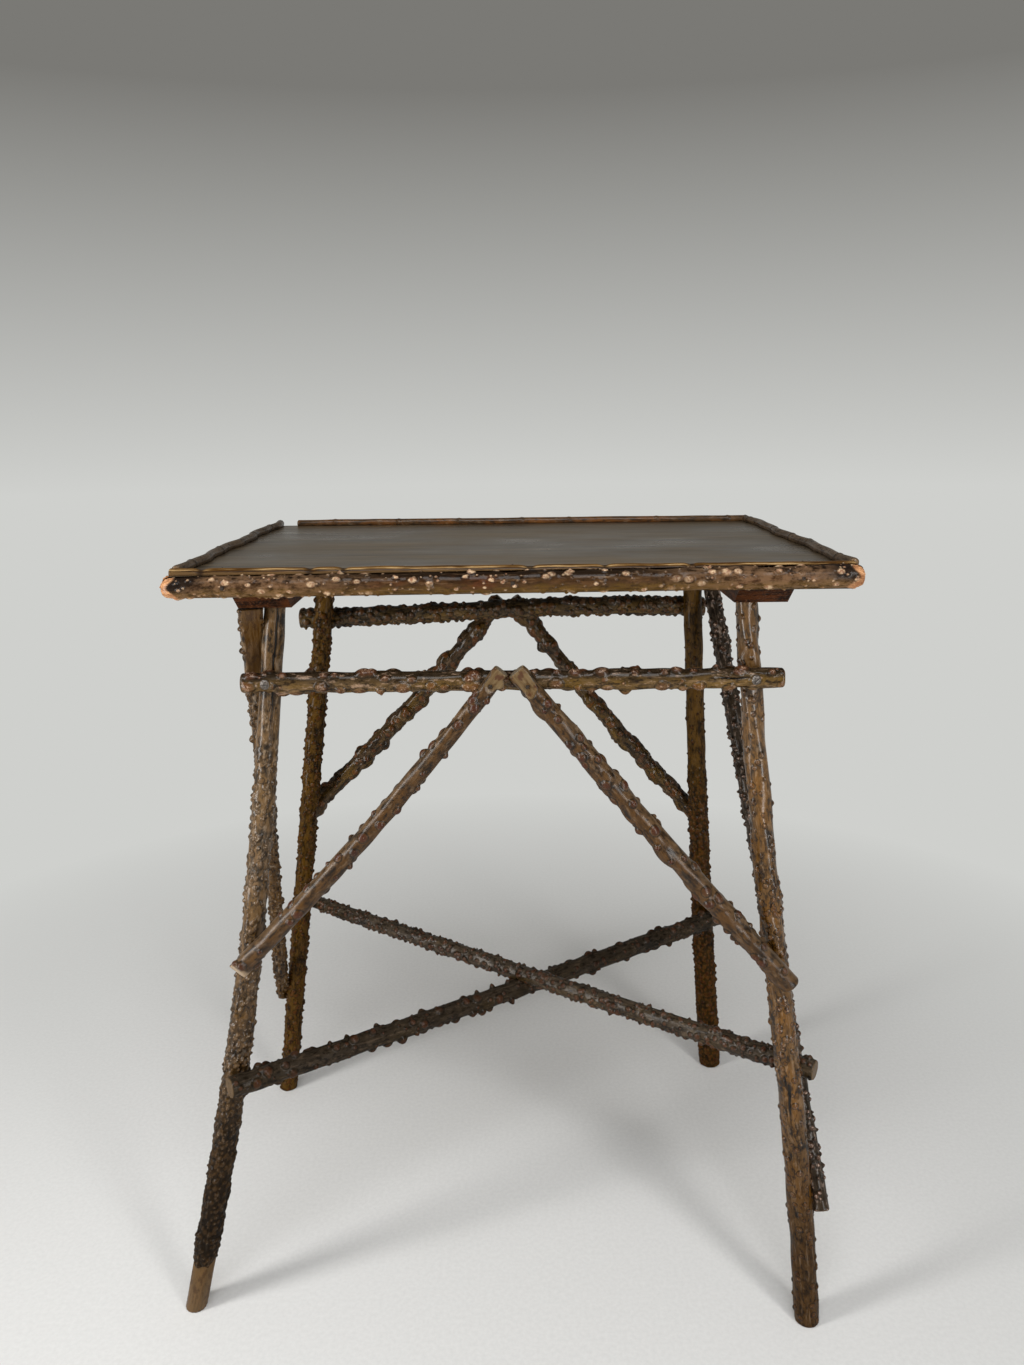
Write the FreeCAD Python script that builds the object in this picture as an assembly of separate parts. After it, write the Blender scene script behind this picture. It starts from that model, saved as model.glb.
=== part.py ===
import FreeCAD, Part
import collections
import math
import os

# A rustic occasional table: a stained board edged with half-round logs, on four splayed legs cut from
# knobbly branches, held by rails, braces and two crossing stretchers that are all nailed bark to bark.
# Millimetres, +Z up, +X to the right and +Y to the back. Laid out about the middle of the top, on the floor.

Vector = FreeCAD.Vector
up = Vector(0, 0, 1)
down = Vector(0, 0, -1)
right = Vector(1, 0, 0)
back = Vector(0, 1, 0)

# Overall sizes
table_height = 711.2
top_width = 526.0
top_depth = 384.0

# Tabletop: board, the logs nailed round its edges and the low gallery on top
board_thickness = 15.5
board_corner_radius = 2.0
edge_log_radius = 8.5
edge_log_thinnest = 0.93
edge_log_end_share = 0.62
edge_log_end_length = 3.0
log_lap = 5.5
front_log_left_drop = 8.8
front_log_right_drop = 5.6
front_log_right_share = 1.1
gallery_height = 5.5
twig_planed_off = 0.6
twig_thinnest = 0.92
twig_inset = 3.3
right_twig_overhang = 1.5
twig_sway = 1.6
twig_swells = 3
strip_width = 13.0
rear_twig_gap = 20.0

# Cleats: two battens under the board that take the legs
cleat_width = 42.5
cleat_thickness = 14.0
cleat_inset = 66.0
cleat_end_inset = 6.0
cleat_bevel = 18.0

# Legs: each has a round tenon in its cleat and a flat foot on the floor
leg_end_inset = 45.0
tenon_radius = 6.0
tenon_length = 9.0
tenon_clearance = 0.15
bare_foot_length = 54.0
bare_foot_radius = 10.2

# Sticks lie in shallow saddles on each other, this deep
saddle_depth = 1.2

# Rails, by how far they lie below the cleats
front_rail_drop = 62.2
front_rail_overhang_left = 20.0
front_rail_overhang_right = 23.0
rear_rail_drop = 71.7
rear_rail_rise = 7.5
rear_rail_hump = 3.6
rear_rail_wave = 1.6
rear_rail_overhang_left = 29.0
rear_rail_overhang_right = 16.0

# Braces, by the place of their tops on the rail, the height of their lower crossing and how far they sag
front_brace_top_rise = 11.0
rear_brace_top_rise = 8.7
front_left_brace_top = -9.5
front_right_brace_top = 2.0
rear_left_brace_top = -11.9
rear_right_brace_top = 0.7
front_left_brace_height = 367.5
front_right_brace_height = 357.0
rear_left_brace_height = 374.5
rear_right_brace_height = 354.0
front_left_brace_sag = 5.3
front_right_brace_sag = 2.4
rear_left_brace_sag = 6.2
rear_right_brace_sag = 6.8
brace_overhang = 13.0
side_brace_top_gap = 1.5
left_side_brace_height = 140.0
right_side_brace_height = 129.0
side_brace_overhang = 12.0

# Stretchers, crossing in the middle, one lying on the other
lower_stretcher_front_height = 249.0
lower_stretcher_rear_height = 226.5
upper_stretcher_rise = 3.6
stretcher_sag = 2.0
stretcher_lap = 3.9
stretcher_overhang = 13.0
upper_stretcher_front_overhang = 18.0

# Knobs: the stubs of pruned twigs that stand out of the bark
knob_radius = 3.4
knob_height = 2.4
knob_spacing = 62.0
knob_clearance = 5.0
knob_turn = math.radians(137.5)

# Fasteners: half width and height of the head, half width of the shank, and how far it bites
Fastener = collections.namedtuple("Fastener", "head_radius head_height shank_radius")
screw = Fastener(4.2, 2.4, 1.8)
nail = Fastener(2.2, 0.9, 1.1)
brad = Fastener(1.0, 0.5, 0.6)
nail_clearance = 0.1
nail_bite = 9.0
nail_sunk_share = 0.6
hole_reach = 28.0
nail_tip_share = 0.6
screw_slot_width = 1.0
screw_slot_depth = 1.1
edge_nail_inset = 48.0
brad_inset = 40.0
cleat_nail_inset = 95.0

# How finely round things are faceted
stick_sides = 14
twig_sides = 8
half_log_sides = 7
knob_sides = 6
nail_sides = 4
screw_sides = 16

# Heights and places that follow from the sizes above
board_top = table_height - gallery_height
board_bottom = board_top - board_thickness
shoulder = board_bottom - cleat_thickness
front_rail_height = shoulder - front_rail_drop
rear_rail_height = shoulder - rear_rail_drop
half_width = top_width / 2
half_depth = top_depth / 2
cleat_x = half_width - cleat_inset
leg_y = half_depth - leg_end_inset
lapped = half_width + log_lap
edge_log_level = board_top - edge_log_radius
front_log_left_level = board_top - front_log_left_drop
front_log_right_level = board_top - front_log_right_drop
strip_front = -half_depth
left_twig_x = -half_width + twig_inset
right_twig_x = half_width + right_twig_overhang
rear_twig_y = half_depth - twig_inset
twig_flat = (gallery_height + twig_planed_off) / 2
twig_radius = twig_flat / math.cos(math.pi / twig_sides)
far_away = 4 * max(table_height, top_width, top_depth)


# Skins
# Bark is faceted: rings of corners, all alike and parallel, are joined by flat facets
def skinned(rings):
    """The closed solid over a row of rings, each a list of as many corners."""
    outlines = [rings[0], rings[-1]]
    sides = len(rings[0])
    for low, high in zip(rings, rings[1:]):
        for corner in range(sides):
            following = (corner + 1) % sides
            outlines.append([low[corner], low[following], high[following], high[corner]])
    faces = [Part.Face(Part.makePolygon(outline + outline[:1])) for outline in outlines]
    shell = Part.makeShell(faces)
    shell.sewShape()
    solid = Part.makeSolid(shell)
    if solid.Volume < 0:
        solid.reverse()
    return solid


def ring(centre, normal, radius, sides):
    """Corners round a centre, square to a normal, always starting on the same side."""
    reference = right if abs(normal.z) > math.sqrt(0.5) else up
    across = (reference - normal * reference.dot(normal)).normalize() * radius
    upright = normal.cross(across).normalize() * radius
    turns = [2 * math.pi * (number + 0.5) / sides for number in range(sides)]
    return [centre + across * math.cos(turn) + upright * math.sin(turn) for turn in turns]


# Sticks
# A stick runs from start to end. Its centre line is that chord with a bow, one half wave, and a sway,
# one full wave, added to it. Its radii are given at even steps from start to end.
Stick = collections.namedtuple("Stick", "start end radii bow sway")


def make_stick(start, end, radii, bow=Vector(), sway=Vector()):
    return Stick(start, end, radii, bow, sway)


def stick_point(stick, t):
    chord = stick.start + (stick.end - stick.start) * t
    return chord + stick.bow * math.sin(math.pi * t) + stick.sway * math.sin(2 * math.pi * t)


def stick_radius(stick, t):
    place = min(max(t, 0.0), 1.0) * (len(stick.radii) - 1)
    step = min(int(place), len(stick.radii) - 2)
    part = place - step
    return stick.radii[step] * (1 - part) + stick.radii[step + 1] * part


def stick_along(stick):
    return (stick.end - stick.start).normalize()


def stick_length(stick):
    return (stick.end - stick.start).Length


def stick_share(stick, point):
    """The share of a stick's length that lies nearest to a point."""
    return (point - stick.start).dot(stick_along(stick)) / stick_length(stick)


def stick_solid(stick, shares=None, normal=None, sides=stick_sides):
    """The stick as a solid, sliced at the given shares of its length, square to its chord or to a normal."""
    steps = len(stick.radii) - 1
    shares = shares or [number / steps for number in range(steps + 1)]
    normal = normal or stick_along(stick)
    return skinned([ring(stick_point(stick, t), normal, stick_radius(stick, t), sides) for t in shares])


def stick_through(point_a, point_b, beyond_a, beyond_b, radii, bow=Vector(), sway=Vector()):
    """A stick that crosses two points and runs on past each of them."""
    direction = (point_b - point_a).normalize()
    return make_stick(point_a - direction * beyond_a, point_b + direction * beyond_b, radii, bow, sway)


def beside(point, radius_a, radius_b, direction):
    """Where the centre of a stick lies when it is seated on the side of another."""
    return point + direction * (radius_a + radius_b - saddle_depth)


# Legs
# Each leg: the side and end it stands at, how far its top is set in from the middle of the cleat, how far
# its foot splays outwards and along, its bow and sway, and its radii from the top down
Leg = collections.namedtuple("Leg", "side end set_in splay_out splay_along bow sway radii")
legs = {
    "front_left_leg": Leg(-1, -1, 3.5, 117.0, 20.0, 12.8, 0.0, (8.9, 9.2, 9.6, 10.6, 11.2, 11.0)),
    "front_right_leg": Leg(1, -1, 7.5, 78.5, 43.0, 0.0, 2.9, (8.8, 9.5, 10.2, 10.8, 11.3, 11.3)),
    "rear_left_leg": Leg(-1, 1, -3.7, 90.5, 18.0, 0.0, 0.0, (9.6, 10.0, 10.2, 10.0, 10.2, 10.4)),
    "rear_right_leg": Leg(1, 1, 0.7, 55.5, 59.0, 3.0, 0.0, (10.0, 10.2, 10.6, 11.4, 12.4, 13.0)),
}


def leg_stick(leg):
    """A leg from its shoulder under the cleat down to the floor; its bow turns inwards."""
    top = Vector(leg.side * (cleat_x - leg.set_in), leg.end * leg_y, shoulder)
    foot = Vector(top.x + leg.side * leg.splay_out, top.y + leg.end * leg.splay_along, 0)
    inwards = right * -leg.side
    return make_stick(top, foot, leg.radii, inwards * leg.bow, inwards * leg.sway)


sticks = {name: leg_stick(leg) for name, leg in legs.items()}


def leg_share(height):
    return (shoulder - height) / shoulder


def leg_point(name, height):
    return stick_point(sticks[name], leg_share(height))


def leg_radius(name, height):
    return stick_radius(sticks[name], leg_share(height))


def leg_solid(name):
    """A leg with level shoulder and foot. The bark is worn off the lowest stretch of the front left one."""
    stick = sticks[name]
    if name != "front_left_leg":
        return stick_solid(stick, normal=up)
    worn_from = leg_share(bare_foot_length)
    steps = len(stick.radii) - 1
    bark_shares = [worn_from * number / steps for number in range(steps + 1)]
    bark = stick_solid(stick, bark_shares, up)
    bare = stick._replace(radii=(bare_foot_radius, bare_foot_radius))
    return bark.fuse(stick_solid(bare, [worn_from, 1.0], up))


def tenon(name):
    """The round tenon whittled on the top of a leg."""
    return Part.makeCylinder(tenon_radius, tenon_length, sticks[name].start, up)


# Rails
# Each rail lies on the outer side of two legs and runs past them
front_rail_radii = (8.0, 8.5, 8.0, 8.4, 8.0)
rear_rail_radii = (10.6, 10.2, 10.0, 10.4, 10.2)


def rail_seat(name, height, radius):
    """The point where a rail's centre passes a leg, in front of a front leg or behind a rear one."""
    outwards = back * legs[name].end
    return beside(leg_point(name, height), leg_radius(name, height), radius, outwards)


sticks["front_rail"] = stick_through(
    rail_seat("front_left_leg", front_rail_height, front_rail_radii[0]),
    rail_seat("front_right_leg", front_rail_height, front_rail_radii[-1]),
    front_rail_overhang_left,
    front_rail_overhang_right,
    front_rail_radii,
)
sticks["rear_rail"] = stick_through(
    rail_seat("rear_left_leg", rear_rail_height, rear_rail_radii[0]),
    rail_seat("rear_right_leg", rear_rail_height + rear_rail_rise, rear_rail_radii[-1]),
    rear_rail_overhang_left,
    rear_rail_overhang_right,
    rear_rail_radii,
    up * rear_rail_hump,
    down * rear_rail_wave,
)

# Braces
# Two pairs stand like an upturned V, front and back: tops on the rail, lower ends on the legs.
# Each brace: its rail and leg, the place of its top and its rise over the rail, the height of its lower
# crossing, its sag and its radii.
Brace = collections.namedtuple("Brace", "rail leg top_x top_rise height sag radii")
braces = {
    "front_left_brace": Brace(
        rail="front_rail",
        leg="front_left_leg",
        top_x=front_left_brace_top,
        top_rise=front_brace_top_rise,
        height=front_left_brace_height,
        sag=front_left_brace_sag,
        radii=(6.2, 6.9, 7.1, 7.4, 7.8),
    ),
    "front_right_brace": Brace(
        rail="front_rail",
        leg="front_right_leg",
        top_x=front_right_brace_top,
        top_rise=front_brace_top_rise,
        height=front_right_brace_height,
        sag=front_right_brace_sag,
        radii=(7.6, 8.4, 8.6, 8.8, 8.8),
    ),
    "rear_left_brace": Brace(
        rail="rear_rail",
        leg="rear_left_leg",
        top_x=rear_left_brace_top,
        top_rise=rear_brace_top_rise,
        height=rear_left_brace_height,
        sag=rear_left_brace_sag,
        radii=(8.2, 9.4, 9.8, 9.6, 9.4),
    ),
    "rear_right_brace": Brace(
        rail="rear_rail",
        leg="rear_right_leg",
        top_x=rear_right_brace_top,
        top_rise=rear_brace_top_rise,
        height=rear_right_brace_height,
        sag=rear_right_brace_sag,
        radii=(8.2, 9.0, 9.2, 9.2, 9.2),
    ),
}


def brace_stick(brace):
    """A brace on the outer side of its rail at its top and of its leg at its lower end, sagging between."""
    outwards = back * legs[brace.leg].end
    rail = sticks[brace.rail]
    share = (brace.top_x - rail.start.x) / (rail.end.x - rail.start.x)
    on_rail = beside(stick_point(rail, share), stick_radius(rail, share), brace.radii[0], outwards)
    on_leg = leg_point(brace.leg, brace.height)
    low = beside(on_leg, leg_radius(brace.leg, brace.height), brace.radii[-1], outwards)
    top = on_rail + up * brace.top_rise
    chord = (low - top).normalize()
    below = (down - chord * down.dot(chord)).normalize()
    return stick_through(top, low, 0.0, brace_overhang, brace.radii, below * brace.sag)


for brace_name, brace in braces.items():
    sticks[brace_name] = brace_stick(brace)

# One long brace leans along each side, outside the legs: high on one leg and low on the other
SideBrace = collections.namedtuple("SideBrace", "high_leg low_leg low_height radii")
side_braces = {
    "left_side_brace": SideBrace(
        "front_left_leg", "rear_left_leg", left_side_brace_height, (10.0, 7.9, 7.6, 7.5, 7.2)
    ),
    "right_side_brace": SideBrace(
        "rear_right_leg", "front_right_leg", right_side_brace_height, (9.0, 8.7, 8.2, 8.0, 7.8)
    ),
}


def side_brace_stick(brace):
    """A brace on the outer side of two legs; its top reaches up to where it is sawn off under the cleat."""
    outwards = right * legs[brace.high_leg].side
    high_height = shoulder - side_brace_top_gap - 2 * brace.radii[0]
    on_high = leg_point(brace.high_leg, high_height)
    on_low = leg_point(brace.low_leg, brace.low_height)
    high = beside(on_high, leg_radius(brace.high_leg, high_height), brace.radii[0], outwards)
    low = beside(on_low, leg_radius(brace.low_leg, brace.low_height), brace.radii[-1], outwards)
    return stick_through(high, low, 2 * brace.radii[0], side_brace_overhang, brace.radii)


for brace_name, brace in side_braces.items():
    sticks[brace_name] = side_brace_stick(brace)

# Stretchers
# The lower one passes on the front side of its two legs and the upper one on their back side
lower_stretcher_radii = (9.8, 9.4, 9.6, 10.0, 10.2)
upper_stretcher_radii = (9.4, 9.0, 8.8, 8.5, 8.0)
stretcher_overhangs = {
    "lower_stretcher": (stretcher_overhang, stretcher_overhang),
    "upper_stretcher": (upper_stretcher_front_overhang, stretcher_overhang),
}


def stretcher_stick(front_leg, front_height, rear_leg, rear_height, facing, radii, overhangs):
    """A stretcher along one diagonal, seated on the side of its two legs that faces the given way."""
    front = leg_point(front_leg, front_height)
    rear = leg_point(rear_leg, rear_height)
    along = Vector(rear.x - front.x, rear.y - front.y, 0).normalize()
    sideways = Vector(along.y, -along.x, 0)
    sideways = sideways * math.copysign(1, sideways.y * facing)
    front_seat = beside(front, leg_radius(front_leg, front_height), radii[0], sideways)
    rear_seat = beside(rear, leg_radius(rear_leg, rear_height), radii[-1], sideways)
    return stick_through(front_seat, rear_seat, overhangs[0], overhangs[1], radii, down * stretcher_sag)


def crossing_share(stick_a, stick_b):
    """The share of the first stick's length at which it crosses the second, seen from above."""
    along_a = stick_a.end - stick_a.start
    along_b = stick_b.end - stick_b.start
    apart = stick_b.start - stick_a.start
    turn = along_a.x * along_b.y - along_a.y * along_b.x
    return (apart.x * along_b.y - apart.y * along_b.x) / turn


stretcher_middle = (lower_stretcher_front_height + lower_stretcher_rear_height) / 2
stretcher_step = lower_stretcher_radii[2] + upper_stretcher_radii[2] - stretcher_lap
upper_stretcher_level = stretcher_middle + stretcher_step
sticks["lower_stretcher"] = stretcher_stick(
    "front_left_leg",
    lower_stretcher_front_height,
    "rear_right_leg",
    lower_stretcher_rear_height,
    -1,
    lower_stretcher_radii,
    stretcher_overhangs["lower_stretcher"],
)
sticks["upper_stretcher"] = stretcher_stick(
    "front_right_leg",
    upper_stretcher_level - upper_stretcher_rise / 2,
    "rear_left_leg",
    upper_stretcher_level + upper_stretcher_rise / 2,
    1,
    upper_stretcher_radii,
    stretcher_overhangs["upper_stretcher"],
)


# Tabletop
def top_board():
    """The board, with its four upright corners eased."""
    corner = Vector(-half_width, -half_depth, board_bottom)
    board = Part.makeBox(top_width, top_depth, board_thickness, corner)
    upright = [edge for edge in board.Edges if edge.BoundBox.ZLength > board_thickness / 2]
    return board.makeFillet(board_corner_radius, upright)


def half_ring(centre, outwards, radius):
    """Corners of half a circle: a straight upright side through the centre and facets round the bark."""
    turns = [math.pi * (number / half_log_sides - 0.5) for number in range(half_log_sides + 1)]
    return [centre + outwards * (radius * math.cos(turn)) + up * (radius * math.sin(turn)) for turn in turns]


# Each edge log: the way it faces, where its middle starts and ends along the edge of the board, its size at
# its end as a share of that at its start, and how many nails hold it
EdgeLog = collections.namedtuple("EdgeLog", "outwards start end end_share nails")
edge_logs = {
    "front_edge_log": EdgeLog(
        outwards=back * -1,
        start=Vector(-lapped, -half_depth, front_log_left_level),
        end=Vector(lapped, -half_depth, front_log_right_level),
        end_share=front_log_right_share,
        nails=3,
    ),
    "rear_edge_log": EdgeLog(
        outwards=back,
        start=Vector(-lapped, half_depth, edge_log_level),
        end=Vector(lapped, half_depth, edge_log_level),
        end_share=1.0,
        nails=3,
    ),
    "left_edge_log": EdgeLog(
        outwards=right * -1,
        start=Vector(-half_width, -half_depth, edge_log_level),
        end=Vector(-half_width, half_depth, edge_log_level),
        end_share=1.0,
        nails=2,
    ),
    "right_edge_log": EdgeLog(
        outwards=right,
        start=Vector(half_width, -half_depth, edge_log_level),
        end=Vector(half_width, half_depth, edge_log_level),
        end_share=1.0,
        nails=2,
    ),
}


def log_point(log, t):
    return log.start + (log.end - log.start) * t


def log_radius(log, t):
    return edge_log_radius * (1 + (log.end_share - 1) * t)


def half_log(log):
    """A log split down its middle, thick and thin along its length, with eased ends.

    Its flat side lies along the line from start to end and faces inwards.
    """
    ease = edge_log_end_length / (log.end - log.start).Length
    slices = [(0.0, edge_log_end_share), (ease, 1.0), (0.25, edge_log_thinnest), (0.5, 1.0)]
    slices += [(0.75, edge_log_thinnest), (1 - ease, 1.0), (1.0, edge_log_end_share)]
    rings = []
    for t, size in slices:
        radius = log_radius(log, t) * size
        rings.append(half_ring(log_point(log, t), log.outwards, radius))
    return skinned(rings)


def gallery_strip():
    """A split twig, flat side down, along the front edge of the board."""
    middle = strip_front + strip_width / 2
    turns = [math.pi * number / half_log_sides for number in range(half_log_sides + 1)]
    rings = []
    for x in (-half_width, half_width):
        centre = Vector(x, middle, board_top)
        flat = [back * (strip_width / 2 * math.cos(turn)) for turn in turns]
        rise = [up * (gallery_height * math.sin(turn)) for turn in turns]
        rings.append([centre + sideways + upwards for sideways, upwards in zip(flat, rise)])
    return skinned(rings)


def gallery_twig(start, end, sway):
    """A thin round twig, planed flat underneath where it lies on the board."""
    swell = (twig_radius, twig_radius * twig_thinnest)
    twig = make_stick(start, end, swell * twig_swells + swell[:1], sway=sway)
    corner = Vector(-far_away / 2, -far_away / 2, board_top - far_away)
    below = Part.makeBox(far_away, far_away, far_away, corner)
    return stick_solid(twig, sides=twig_sides).cut(below)


def gallery_twigs():
    """Left, right and rear twigs. The rear one starts short of the left corner and stops at the right one."""
    level = table_height - twig_flat
    twigs = {}
    for name, x in (("left_gallery_twig", left_twig_x), ("right_gallery_twig", right_twig_x)):
        start = Vector(x, strip_front + strip_width, level)
        end = Vector(x, half_depth, level)
        twigs[name] = gallery_twig(start, end, right * twig_sway)
    rear_start = Vector(left_twig_x + rear_twig_gap, rear_twig_y, level)
    rear_end = Vector(right_twig_x - twig_radius - nail_clearance, rear_twig_y, level)
    twigs["rear_gallery_twig"] = gallery_twig(rear_start, rear_end, Vector()).cut(twigs["right_gallery_twig"])
    return twigs


def cleat(side):
    """A batten from front to back under the board, bevelled at both ends and bored for two tenons."""
    half_length = half_depth - cleat_end_inset
    x = side * cleat_x - cleat_width / 2
    outline = [
        Vector(x, -half_length, board_bottom),
        Vector(x, half_length, board_bottom),
        Vector(x, half_length - cleat_bevel, shoulder),
        Vector(x, -half_length + cleat_bevel, shoulder),
    ]
    batten = Part.Face(Part.makePolygon(outline + outline[:1])).extrude(right * cleat_width)
    bore_radius = tenon_radius + tenon_clearance
    bore_depth = tenon_length + tenon_clearance
    for name, leg in legs.items():
        if leg.side == side:
            batten = batten.cut(Part.makeCylinder(bore_radius, bore_depth, sticks[name].start, up))
    return batten


# Knobs
def knob(stick, t, turn):
    """A stub on a stick: a short frustum standing square to the bark, with its foot sunk in it."""
    along = stick_along(stick)
    radius = stick_radius(stick, t)
    outwards = (ring(Vector(), along, 1.0, stick_sides)[0]).normalize()
    outwards = FreeCAD.Rotation(along, math.degrees(turn)).multVec(outwards)
    centre = stick_point(stick, t)
    foot = ring(centre + outwards * (radius - knob_height), outwards, knob_radius, knob_sides)
    tip = ring(centre + outwards * (radius + knob_height), outwards, knob_radius / 2, knob_sides)
    return centre + outwards * radius, skinned([foot, tip])


def is_clear(name, point):
    """True where a knob at a point of one stick stays clear of every other stick."""
    for other_name, other in sticks.items():
        if other_name != name:
            t = min(max(stick_share(other, point), 0.0), 1.0)
            gap = (point - stick_point(other, t)).Length - stick_radius(other, t)
            if gap < knob_height + knob_radius + knob_clearance:
                return False
    return True


def with_knobs(name, body):
    """A stick with knobs at even steps, each turned on from the last, where nothing is in their way."""
    stick = sticks[name]
    count = int(stick_length(stick) / knob_spacing)
    for number in range(1, count):
        centre, stub = knob(stick, number / count, number * knob_turn)
        if is_clear(name, centre):
            body = body.fuse(stub)
    return body


# Every wooden piece by name, before it is saddled on its neighbours
pieces = {"top_board": top_board(), "left_cleat": cleat(-1), "right_cleat": cleat(1)}
for log_name, log in edge_logs.items():
    pieces[log_name] = half_log(log)
pieces.update(gallery_twigs())
pieces["front_gallery_strip"] = gallery_strip()
for stick_name in sticks:
    bare_stick = leg_solid(stick_name) if stick_name in legs else stick_solid(sticks[stick_name])
    pieces[stick_name] = with_knobs(stick_name, bare_stick)
for leg_name in legs:
    pieces[leg_name] = pieces[leg_name].fuse(tenon(leg_name))

# Saddles: the outer stick of each crossing is hollowed to fit the one that it lies on
seats = {
    "front_rail": ("front_left_leg", "front_right_leg"),
    "rear_rail": ("rear_left_leg", "rear_right_leg"),
    "lower_stretcher": ("front_left_leg", "rear_right_leg"),
    "upper_stretcher": ("front_right_leg", "rear_left_leg", "lower_stretcher"),
}
for brace_name, brace in braces.items():
    seats[brace_name] = (brace.rail, brace.leg)
for brace_name, brace in side_braces.items():
    seats[brace_name] = (brace.high_leg, brace.low_leg)
for outer, inner_names in seats.items():
    for inner in inner_names:
        pieces[outer] = pieces[outer].cut(pieces[inner])

# The tops of the side braces are sawn off level, clear of the cleats
saw_height = shoulder - side_brace_top_gap
saw_cut = Part.makeBox(far_away, far_away, far_away, Vector(-far_away / 2, -far_away / 2, saw_height))
for brace_name in side_braces:
    pieces[brace_name] = pieces[brace_name].cut(saw_cut)

# Fasteners
# Cut nails and brads are square and taper to a blunt point. The rail screws have a domed, slotted head.
fastener_groups = collections.defaultdict(list)


def turned(profile, sides):
    """A solid about the Z axis through a row of (radius, height) pairs."""
    return skinned([ring(up * height, up, radius, sides) for radius, height in profile])


def nail_body(kind, length):
    """A nail along -Z, with the underside of its square head at zero."""
    head = turned([(kind.head_radius, 0), (kind.head_radius * nail_tip_share, kind.head_height)], nail_sides)
    shank = turned([(kind.shank_radius * nail_tip_share, -length), (kind.shank_radius, 0)], nail_sides)
    return head.fuse(shank)


def screw_body(kind, length, slot_turn):
    """A screw along -Z, with the underside of its domed head at zero and a slot across it."""
    dome = [(math.cos(turn), math.sin(turn)) for turn in (0, math.pi / 8, math.pi / 4, 3 * math.pi / 8)]
    head = turned([(kind.head_radius * out, kind.head_height * high) for out, high in dome], screw_sides)
    reach = 2 * kind.head_radius
    corner = Vector(-reach, -screw_slot_width / 2, kind.head_height - screw_slot_depth)
    slot = Part.makeBox(2 * reach, screw_slot_width, reach, corner)
    slot.rotate(Vector(), up, slot_turn)
    shank = turned([(kind.shank_radius * nail_tip_share, -length), (kind.shank_radius, 0)], nail_sides)
    return head.cut(slot).fuse(shank)


def fastener_hole(kind, length, sides):
    """The room that a fastener takes in the wood, with a little clearance and open above the head."""
    seat = kind.head_radius + nail_clearance
    tip = kind.shank_radius * nail_tip_share + nail_clearance
    head = turned([(seat, -nail_clearance), (seat, hole_reach)], sides)
    shank = turned([(tip, -length - nail_clearance), (kind.shank_radius + nail_clearance, 0)], nail_sides)
    return head.fuse(shank)


def drive(group, kind, head, direction, length, through, slot_turn=None):
    """Put a fastener in with its head at a point, and open its hole in the pieces it goes through."""
    if slot_turn is None:
        body = nail_body(kind, length)
        hole = fastener_hole(kind, length, nail_sides)
    else:
        body = screw_body(kind, length, slot_turn)
        hole = fastener_hole(kind, length, screw_sides)
    placement = FreeCAD.Placement(head, FreeCAD.Rotation(up, direction * -1))
    body.Placement = placement
    hole.Placement = placement
    for name in through:
        pieces[name] = pieces[name].cut(hole)
    fastener_groups[group].append(body)


def pin_crossing(group, kind, outer, share, inner, inwards, slot_turn=None):
    """Drive a fastener through one stick, at a share of its length, into the stick behind it."""
    stick = sticks[outer]
    radius = stick_radius(stick, share)
    sunk = kind.head_height * nail_sunk_share
    head = stick_point(stick, share) - inwards * (radius * math.cos(math.pi / stick_sides) - sunk)
    length = 2 * radius - sunk - saddle_depth + nail_bite
    drive(group, kind, head, inwards, length, (outer, inner), slot_turn)


# Slotted screws hold the rails to the legs
rail_joints = [
    ("front_rail", "front_left_leg", front_rail_height, 0.0),
    ("front_rail", "front_right_leg", front_rail_height, 45.0),
    ("rear_rail", "rear_left_leg", rear_rail_height, 20.0),
    ("rear_rail", "rear_right_leg", rear_rail_height + rear_rail_rise, 70.0),
]
for rail_name, leg_name, height, slot_turn in rail_joints:
    share = stick_share(sticks[rail_name], leg_point(leg_name, height))
    pin_crossing("rail_screws", screw, rail_name, share, leg_name, back * -legs[leg_name].end, slot_turn)

# Nails hold each brace to its rail and leg, and each side brace to its two legs
for brace_name, brace in braces.items():
    stick = sticks[brace_name]
    inwards = back * -legs[brace.leg].end
    low_share = 1 - brace_overhang / stick_length(stick)
    top_share = brace.top_rise / (stick.start.z - stick.end.z)
    pin_crossing("brace_nails", nail, brace_name, low_share, brace.leg, inwards)
    pin_crossing("brace_nails", nail, brace_name, top_share, brace.rail, inwards)
for brace_name, brace in side_braces.items():
    stick = sticks[brace_name]
    inwards = right * -legs[brace.high_leg].side
    high_share = 2 * brace.radii[0] / stick_length(stick)
    low_share = 1 - side_brace_overhang / stick_length(stick)
    pin_crossing("brace_nails", nail, brace_name, high_share, brace.high_leg, inwards)
    pin_crossing("brace_nails", nail, brace_name, low_share, brace.low_leg, inwards)

# Nails hold the stretchers to the legs, and one holds them together where they cross
for stretcher_name in ("lower_stretcher", "upper_stretcher"):
    stick = sticks[stretcher_name]
    front_overhang, rear_overhang = stretcher_overhangs[stretcher_name]
    front_share = front_overhang / stick_length(stick)
    rear_share = 1 - rear_overhang / stick_length(stick)
    for share, leg_name in zip((front_share, rear_share), seats[stretcher_name]):
        crossing = stick_point(stick, share)
        towards_leg = (leg_point(leg_name, crossing.z) - crossing).normalize()
        pin_crossing("stretcher_nails", nail, stretcher_name, share, leg_name, towards_leg)
middle_share = crossing_share(sticks["upper_stretcher"], sticks["lower_stretcher"])
pin_crossing("stretcher_nails", nail, "upper_stretcher", middle_share, "lower_stretcher", down)


def spread(length, inset, count):
    """Evenly spaced places along a length, about its middle, the outer ones set in from its ends."""
    half = length / 2 - inset
    return [half * (2 * number / (count - 1) - 1) for number in range(count)]


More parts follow.
